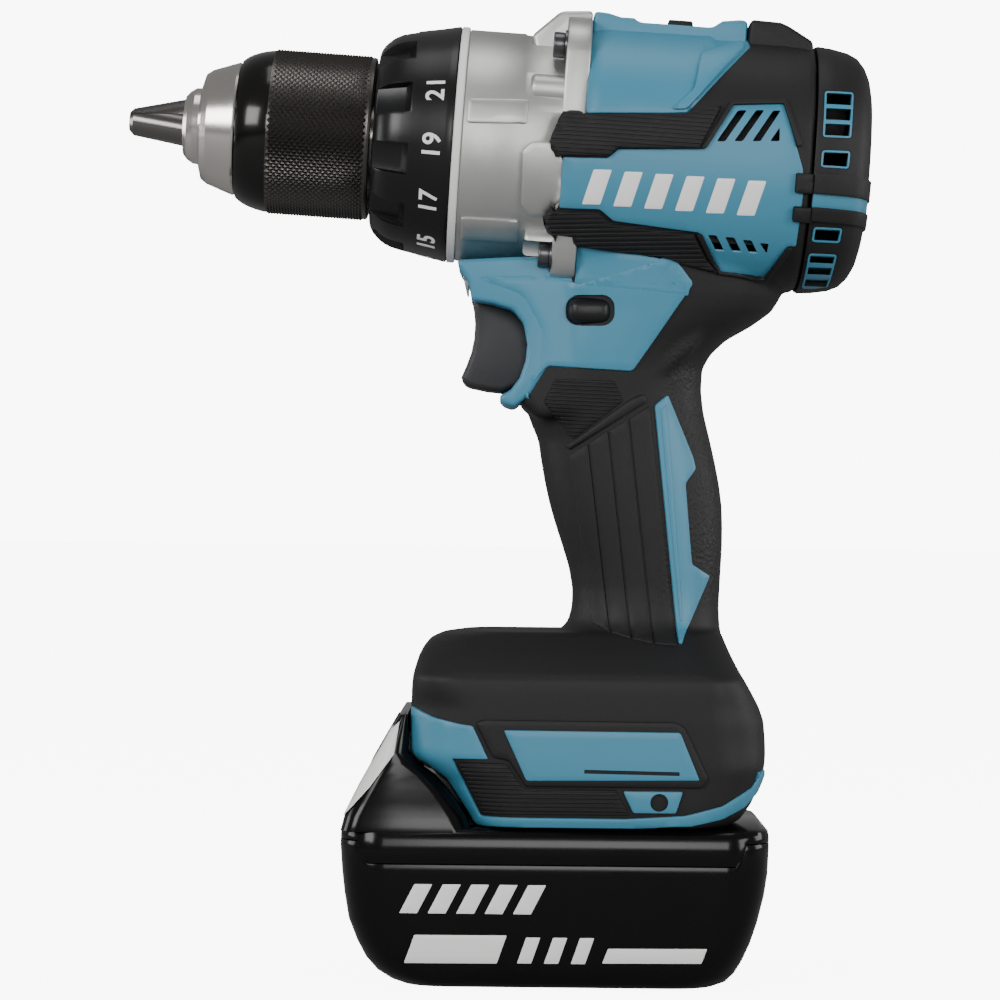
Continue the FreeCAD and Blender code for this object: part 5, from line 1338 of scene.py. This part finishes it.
    def _base_panels(self, side: Side, word: str) -> None:
        """Blue trim, blue panel, ribbed field and hook-screw plate on the base."""
        trim = self.skin.panel(f"base_trim_{word}", [
            (-39.2, 75.4), (-33.0, 72.8), (-26.0, 71.3), (-22.8, 70.9), (-18.6, 62.0), (-28.2, 62.2),
            (-20.4, 46.5), (18.0, 46.4),
            (34.0, 47.4), (44.0, 50.0), (52.0, 54.6), (55.4, 59.6), (56.0, 57.6), (54.0, 53.4),
            (50.0, 49.6), (44.0, 46.6), (36.0, 44.8),
            (20.0, 44.1), (-21.6, 44.1), (-29.3, 56.2), (-34.5, 60.0), (-39.2, 63.0)], 0.7, side, edge=0.35,
            corner=0.6, spacing=1.3)
        dress(trim, self.finishes["blue"], "housing")
        field = self.skin.panel(f"base_field_{word}", [
            (-26.6, 61.2), (-13.8, 61.0), (-9.4, 54.4), (15.4, 54.2), (19.2, 47.4), (-19.8, 47.4)], 0.55,
            side, edge=0.3, corner=0.6)
        dress(field, self.finishes["base_ribs"], "housing")
        guard = self.skin.panel(f"base_guard_{word}", [
            (-22.0, 71.6), (-17.4, 62.6), (-13.2, 61.8), (-8.6, 54.9), (38.6, 54.9), (40.2, 57.4),
            (33.6, 71.2), (31.0, 72.4), (-20.0, 72.6)],
            1.1, side, edge=0.6, corner=0.8)
        dress(guard, self.finishes["rubber"], "housing")
        panel = self.skin.panel(f"base_panel_{word}",
                                [(-14.6, 69.9), (32.5, 69.7), (37.8, 57.0), (-8.4, 56.5)], 1.5, side,
                                edge=0.35, corner=0.7)
        slit = prism("slit", [(7.0, 59.6), (32.4, 59.2), (32.4, 58.2), (7.0, 58.6)], -45, 45)
        panel = cut_away(panel, slit)
        dress(panel, self.finishes["blue"], "housing")
        plate = self.skin.panel(f"hook_plate_{word}",
                                [(17.4, 53.9), (33.4, 53.9), (31.6, 48.1), (20.2, 48.1)], 0.9, side,
                                edge=0.3, corner=0.6)
        deselect()
        bpy.ops.mesh.primitive_cylinder_add(vertices=48, radius=2.4 * MM, depth=0.1,
                                            location=(27.1 * MM, 0, 50.9 * MM),
                                            rotation=(math.pi / 2, 0, 0))
        bpy.ops.object.transform_apply(location=True, rotation=True, scale=True)
        plate = cut_away(plate, bpy.context.object)
        dress(plate, self.finishes["blue"], "housing")


class FrameOutline(Enum):
    """Side outlines of the trigger frame: inside the body, the blue front, and the blue side panel."""

    CORE = ((-26.5, 194.0), (-24.5, 190.0), (-12.0, 186.2), (-7.2, 178.0), (-7.4, 170.0), (-11.0, 161.8),
            (-11.5, 158.0), (-6.0, 153.0),
            (20.0, 158.0), (36.0, 172.0), (50.0, 196.0), (40.0, 206.0), (10.0, 206.0), (2.0, 194.0))
    FRONT = ((-28.8, 196.6), (-27.6, 193.8), (-25.2, 190.4), (-24.6, 185.6), (-19.0, 184.8), (-13.2, 183.2),
             (-10.2, 179.6), (-9.2, 174.0),
             (-9.6, 169.4), (-11.2, 164.6), (-13.8, 161.0), (-17.0, 159.6), (-15.8, 157.4), (-12.6, 156.4),
             (-8.0, 160.4), (-3.6, 167.6),
             (19.6, 166.2), (34.6, 188.6), (29.6, 198.0), (4.0, 197.2), (-12.0, 197.6))
    SIDE = ((-27.0, 195.4), (-2.8, 192.4), (4.7, 190.4), (29.8, 198.2), (35.7, 190.6), (19.4, 166.6),
            (-3.7, 167.9), (-11.6, 158.0),
            (-14.2, 158.8), (-10.8, 162.8), (-8.6, 170.0), (-8.8, 177.8), (-12.6, 183.4), (-23.6, 186.0),
            (-26.0, 191.4))


# ---------------------------------------------------------------- rear cover
@dataclass
class RearCover:
    """The black cover behind the motor, with blue-lined vents."""

    finishes: dict[str, bpy.types.Material]

    def build(self) -> None:
        """Builds the cover, its vent liners, its bumpers and the stripe between them."""
        cover = self._form("rear_cover_shell", 0.0)
        for side in Side:
            for k, (corners, bars) in enumerate(VENTS):
                liner = self._liner(f"vent_liner_{k}_{side.name.lower()}", corners, bars, side)
                dress(liner, self.finishes["blue"], "housing")
                cover = cut_away(cover, self._window("vent", corners, side, -0.15))
        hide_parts("rear_cover")
        dress(cover, self.finishes["rubber"], "housing")
        for name, grown, low, high, finish, slot in (("cover_bumper_upper", 1.9, -9.4, -4.2, "rubber",
                                                      "black_rubber"),
                                                     ("cover_stripe", 0.6, -13.4, -9.0, "blue",
                                                      "blue_plastic"),
                                                     ("cover_bumper_lower", 1.9, -16.7, -13.0, "rubber",
                                                      "black_rubber")):
            band = self._form(name, grown)
            keep = prism("keep", [(57.9, low), (90.0, low), (90.0, high), (57.9, high)], -60.0, 60.0,
                         Frame.HEAD)
            band = soften(cut_away(band, keep, "INTERSECT"), 0.5, 3, 40)
            dress(band, self.finishes[finish], "housing")

    def _form(self, name: str, grown: float) -> bpy.types.Object:
        """The cover's outside form, larger or smaller by a distance.

        Args:
            name: the piece's name.
            grown: distance outwards, in millimetres.

        Returns:
            The closed piece.
        """
        rings = []
        for a, half, radius in ((57.7, 34.2, 33.8), (58.4, 34.5, 34.1), (62.0, 34.2, 33.8),
                                (66.6, 33.2, 32.9),
                                (69.4, 31.8, 31.6), (71.4, 29.6, 29.4), (72.8, 26.8, 26.6),
                                (73.6, 23.6, 23.4),
                                (74.0, 20.0, 20.0), (74.05, 10.0, 10.0)):
            ring = []
            for i in range(120):
                t = 2 * math.pi * i / 120
                c, s = math.cos(t), math.sin(t)
                ring.append(HEAD_MATRIX @ Vector((a + 0.25 * grown * max(0.0, (a - 66.0) / 8.0),
                                                  (half + grown) * math.copysign(abs(c) ** (2 / 2.25), c),
                                                  (radius + grown) * math.copysign(abs(s) ** (2 / 2.25), s))))
            rings.append(ring)
        return loft(name, rings)

    def _window(self, name: str, corners: Outline, side: Side, trim: float) -> bpy.types.Object:
        """A cutter through the cover's side.

        Args:
            name: the cutter's name.
            corners: outline in the head's side view.
            side: the side of the tool.
            trim: distance that the outline is moved inwards.

        Returns:
            The cutter.
        """
        loop = inset(rounded(corners, 0.9, 3.0), trim)
        low, high = (9.0, 44.0) if side is Side.RIGHT else (-44.0, -9.0)
        return prism(name, [(p.x, p.y) for p in loop], low, high, Frame.HEAD)

    def _liner(self, name: str, corners: Outline, bars: int, side: Side) -> bpy.types.Object:
        """A thin blue frame with cross bars, flush with the cover's outside.

        Args:
            name: the piece's name.
            corners: the vent's outline: front top, rear top, rear bottom, front bottom.
            bars: number of cross bars.
            side: the side of the tool.

        Returns:
            The closed piece.
        """
        liner = cut_away(self._form(name, 0.15), self._window("keep", corners, side, 0.0), "INTERSECT")
        liner = cut_away(liner, self._form("core", -2.6))
        (a0, z0), (a1, z1), (a2, z2), (a3, z3) = corners
        for k in range(bars + 1):
            first, last = k / (bars + 1), (k + 1) / (bars + 1)
            pane = [(a0 + (a3 - a0) * first, z0 + (z3 - z0) * first),
                    (a1 + (a2 - a1) * first, z1 + (z2 - z1) * first),
                    (a1 + (a2 - a1) * last, z1 + (z2 - z1) * last),
                    (a0 + (a3 - a0) * last, z0 + (z3 - z0) * last)]
            liner = cut_away(liner, self._window("pane", pane, side, 0.55))
        return soften(liner, 0.12, 2, 40)


VENTS = (
    (((59.3, 18.8), (67.3, 19.2), (67.1, 6.3), (59.3, 5.9)), 2),
    (((59.4, 2.4), (67.2, 2.8), (67.0, -2.0), (59.3, -2.2)), 0),
    (((59.0, -18.0), (66.9, -17.7), (66.6, -21.6), (58.9, -21.9)), 0),
    (((58.6, -24.8), (66.4, -24.5), (65.8, -33.0), (58.5, -33.4)), 2),
)


# ---------------------------------------------------------------- controls
@dataclass
class Controls:
    """Trigger, direction lever, selector knob and lamp."""

    finishes: dict[str, bpy.types.Material]

    def build(self) -> None:
        """Builds the four controls."""
        trigger = prism("trigger_blade", [
            (-24.6, 186.6), (-23.9, 183.0), (-23.6, 179.6), (-23.8, 175.6), (-24.6, 171.6), (-26.0, 167.8),
            (-27.2, 165.0), (-27.0, 163.2),
            (-24.9, 162.2), (-20.0, 161.2), (-16.0, 160.8), (-10.6, 163.0), (-8.2, 168.0), (-7.6, 173.0),
            (-8.0, 179.0), (-9.4, 183.2),
            (-12.4, 186.6)], -8.6, 8.6)
        soften(trigger, 1.6, 4, 40)
        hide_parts("trigger")
        dress(trigger, self.finishes["trigger"], "trigger", 50.0)
        lever = prism("lever_button", [(1.6, 186.6), (13.8, 186.6), (13.8, 179.4), (1.6, 179.4)], -22.4, 22.4)
        soften(lever, 3.0, 6, 30)
        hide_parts("direction_lever")
        dress(lever, self.finishes["black"], "direction_lever", 50.0)
        knob = prism("selector_knob", [(11.9, 34.4), (11.9, 35.8), (16.6, 35.8), (17.0, 38.4), (23.6, 38.4),
                                       (24.0, 35.8), (28.7, 35.8), (28.7, 34.4)],
                     -5.6, 5.6, Frame.HEAD)
        soften(knob, 0.4, 2, 30)
        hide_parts("speed_selector")
        dress(knob, self.finishes["black"], "speed_selector")
        lens = prism("lamp_lens", [(-27.2, 193.4), (-25.4, 193.6), (-25.4, 187.8), (-25.9, 187.8)], -5.9, 5.9)
        soften(lens, 0.5, 2, 30)
        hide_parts("work_light")
        dress(lens, self.finishes["lens"], "housing")


# ---------------------------------------------------------------- battery
TRAY_RINGS = [
    (0.0, -38.0, 40.0, 30.0, 10), (0.4, -41.5, 43.5, 32.6, 11), (1.6, -44.6, 46.4, 34.6, 12),
    (4.0, -48.2, 48.6, 36.0, 12),
    (7.5, -51.2, 50.6, 36.8, 12), (12.0, -53.6, 52.6, 37.2, 12), (18.0, -56.0, 54.6, 37.3, 12),
    (25.0, -57.2, 56.3, 37.35, 12),
    (31.0, -57.9, 57.2, 37.4, 12), (38.0, -58.4, 57.5, 37.4, 12), (41.0, -58.3, 57.5, 36.9, 12),
    (42.6, -57.9, 57.2, 36.0, 11), (43.3, -57.0, 56.4, 34.8, 10),
]


@dataclass
class Battery:
    """Glossy tray and lid with a stepped seam, hump, rails, gauge panel and label."""

    finishes: dict[str, bpy.types.Material]

    def build(self) -> None:
        """Builds the battery's pieces."""
        tray = self._shell("battery_tray_shell")
        tray = cut_away(tray, self._seam("keep_low", True), "INTERSECT")
        soften(tray, 0.25, 2, 50)
        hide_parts("battery_tray")
        dress(tray, self.finishes["gloss"], "battery", 40.0)
        lid = self._shell("battery_lid_shell")
        lid = cut_away(lid, self._seam("keep_high", False), "INTERSECT")
        hump = self._hump()
        lid = cut_away(lid, hump, "UNION")
        tower = prism("tower", [(-36.0, 42.0), (-36.0, 59.8), (41.2, 59.8), (41.2, 42.0)], -26.4, 26.4)
        for span in ((-40.0, -22.6), (22.6, 40.0)):
            tower = cut_away(tower, prism("rail",
                                          [(-40.0, 45.3), (60.0, 45.3), (60.0, 49.5), (-40.0, 49.5)], *span))
        lid = cut_away(lid, tower, "UNION")
        for y in (-9.0, 0.0, 9.0):
            lid = cut_away(lid, prism("slot", [(5.0, 51.0), (60.0, 51.0), (60.0, 70.0), (5.0, 70.0)],
                                      y - 1.0, y + 1.0))
        way = prism("way", [(-66.0, 54.0), (-43.2, 54.0), (-43.2, 80.0), (-66.0, 80.0)], -11.4, 11.4)
        lid = cut_away(lid, way)
        lid = cut_away(lid, prism("latch_way", [(-45.0, 52.4), (-30.6, 52.4), (-30.6, 66.0), (-45.0, 66.0)],
                                  -7.3, 7.3))
        soften(lid, 0.3, 2, 40)
        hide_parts("battery_lid")
        dress(lid, self.finishes["gloss"], "battery", 40.0)
        self._fascia()
        self._label()

    def _shell(self, name: str) -> bpy.types.Object:
        """The whole outside form of the case."""
        return loft(name, [slab_ring(f, b, h, z, c, 14) for z, f, b, h, c in TRAY_RINGS])

    def _seam(self, name: str, low: bool) -> bpy.types.Object:
        """A block below or above the stepped seam between tray and lid."""
        gap = -0.12 if low else 0.12
        seam = [(-70.0, 39.6 + gap), (-53.4 - gap, 39.6 + gap), (-52.4 - gap, 36.0), (-50.6, 33.7 + gap),
                (47.8, 33.7 + gap), (49.6 + gap, 36.0),
                (50.6 + gap, 39.6 + gap), (70.0, 39.6 + gap)]
        end = -10.0 if low else 60.0
        return prism(name, seam + [(70.0, end), (-70.0, end)], -60.0, 60.0)

    def _hump(self) -> bpy.types.Object:
        """The raised front of the case, which leans back and narrows upwards."""
        rings = []
        for z, front, back, half in ((42.0, -58.2, -22.8, 36.4), (46.0, -57.2, -24.4, 35.6),
                                     (50.0, -55.2, -27.0, 34.6), (54.0, -53.0, -30.2, 33.6),
                                     (57.0, -51.4, -33.0, 33.0), (60.0, -49.8, -37.2, 32.4),
                                     (63.0, -48.0, -40.2, 31.8), (70.0, -44.3, -40.3, 30.4),
                                     (73.2, -42.4, -40.4, 29.8)):
            rings.append(slab_ring(front, back, half, z, 5.0, 6))
        return soften(loft("hump", rings), 0.8, 3, 40)

    def _fascia(self) -> None:
        """The pale gauge panel that wraps the sloping front, and the release button."""
        outline = [(-42.6, 71.4), (-44.0, 62.6), (-50.4, 53.8), (-57.4, 46.0), (-58.4, 46.4), (-55.2, 56.4),
                   (-50.6, 63.4)]
        panel = prism("gauge_panel", outline, -36.2, 36.2)
        rings = [slab_ring(f - 0.35, b, h + 0.35, z, 5.2, 6) for z, f, b, h in (
            (45.0, -57.7, -30.0, 35.8), (50.0, -55.2, -30.0, 34.6), (54.0, -53.0, -30.2, 33.6),
            (57.0, -51.4, -33.0, 33.0), (60.0, -49.8, -37.2, 32.4),
            (63.0, -48.0, -40.2, 31.8), (72.0, -43.2, -40.3, 30.2))]
        panel = cut_away(panel, loft("wrap", rings), "INTERSECT")
        panel = cut_away(panel, prism("gap", [(-70, 54.0), (-30, 54.0), (-30, 80.0), (-70, 80.0)], -11.6,
                                      11.6))
        soften(panel, 0.2, 2, 35)
        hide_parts("battery_fascia")
        dress(panel, self.finishes["pale"], "battery")
        button = prism("release_button_cap", [(-51.2, 58.6), (-43.6, 72.0), (-43.6, 58.6)], -10.8, 10.8)
        tongue = prism("tongue", [(-46.0, 56.8), (-31.2, 56.8), (-31.2, 62.0), (-35.8, 62.0), (-35.8, 59.2),
                                  (-46.0, 59.2)], -6.8, 6.8)
        button = cut_away(soften(button, 1.0, 3), tongue, "UNION")
        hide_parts("release_button")
        dress(button, self.finishes["trigger"], "release_button")

    def _label(self) -> None:
        """Plain white label shapes on both sides of the tray."""
        shell = self._shell("label_form")
        skin = Skin(shell)
        shapes = [[(-40.6, 7.2), (-37.9, 14.8), (-13.2, 14.9), (-15.8, 7.3)]]
        shapes += [[(-42.0 + 7.6 * k, 20.6), (-38.0 + 7.6 * k, 28.4), (-33.2 + 7.6 * k, 28.4),
                    (-37.2 + 7.6 * k, 20.6)] for k in range(5)]
        shapes += [[(-10.4 + 7.2 * k, 7.4), (-8.0 + 7.2 * k, 14.4), (-4.2 + 7.2 * k, 14.4),
                    (-6.6 + 7.2 * k, 7.4)] for k in range(3)]
        shapes += [[(12.4, 7.6), (13.9, 11.6), (40.4, 11.8), (38.9, 7.8)]]

        def lay(side: Side, word: str) -> None:
            """Lays the label on one side."""
            for k, outline in enumerate(shapes):
                mark = skin.panel(f"label_{k}_{word}", outline, 0.06, side, edge=0.02, corner=0.25,
                                  spacing=2.0, sink=0.3)
                dress(mark, self.finishes["white"], "battery")

        both_sides(lay)
        bpy.data.objects.remove(shell, do_unlink=True)


# ---------------------------------------------------------------- carried-over pieces
@dataclass
class Insides:
    """Finishes for the CAD pieces that are kept as they are."""

    finishes: dict[str, bpy.types.Material]

    def dress(self, nodes: dict[str, bpy.types.Object]) -> None:
        """Gives each kept piece the finish of its material slot.

        Args:
            nodes: the CAD nodes by name.
        """
        kinds = {"steel": "steel", "dark_steel": "dark_steel", "copper": "copper", "brass": "brass",
                 "magnet": "dark_steel",
                 "board": "board", "cell_wrap": "sleeve", "blue_plastic": "blue", "black_rubber": "rubber",
                 "black_plastic": "black",
                 "gloss_black": "gloss", "grey_plastic": "trigger", "pale_plastic": "pale",
                 "cast_aluminium": "cast", "clear_lens": "lens"}
        slots = {entry["node"]: entry["material_slot"] for entry in FRAME["record"]["subparts"]}
        for name, node in nodes.items():
            finish = self.finishes["jaw" if name.startswith("chuck_jaw") else kinds[slots[name]]]
            for index in range(max(1, len(node.data.materials))):
                if index < len(node.data.materials):
                    node.data.materials[index] = finish
                else:
                    node.data.materials.append(finish)


def main() -> None:
    """Builds every sub-assembly in order."""
    logging.basicConfig(level=logging.INFO, format="%(name)s %(message)s")
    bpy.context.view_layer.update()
    book = Finishes()
    finishes = {name: getattr(book, name).make() for name in book.__dataclass_fields__}
    Studio().build()
    Insides(finishes).dress(FRAME["nodes"])
    Chuck(finishes).build()
    TorqueRing(finishes).build()
    GearCase(finishes).build()
    Body(finishes).build()
    RearCover(finishes).build()
    Controls(finishes).build()
    Battery(finishes).build()


with open("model.json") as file:
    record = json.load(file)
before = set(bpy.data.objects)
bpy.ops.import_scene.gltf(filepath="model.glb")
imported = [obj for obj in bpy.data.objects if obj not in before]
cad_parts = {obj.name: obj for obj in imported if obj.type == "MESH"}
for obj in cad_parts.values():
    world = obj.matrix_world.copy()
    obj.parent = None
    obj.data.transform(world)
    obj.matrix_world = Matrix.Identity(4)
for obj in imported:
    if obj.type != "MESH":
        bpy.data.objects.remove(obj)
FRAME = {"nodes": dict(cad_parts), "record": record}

if __name__ == "__main__":
    main()
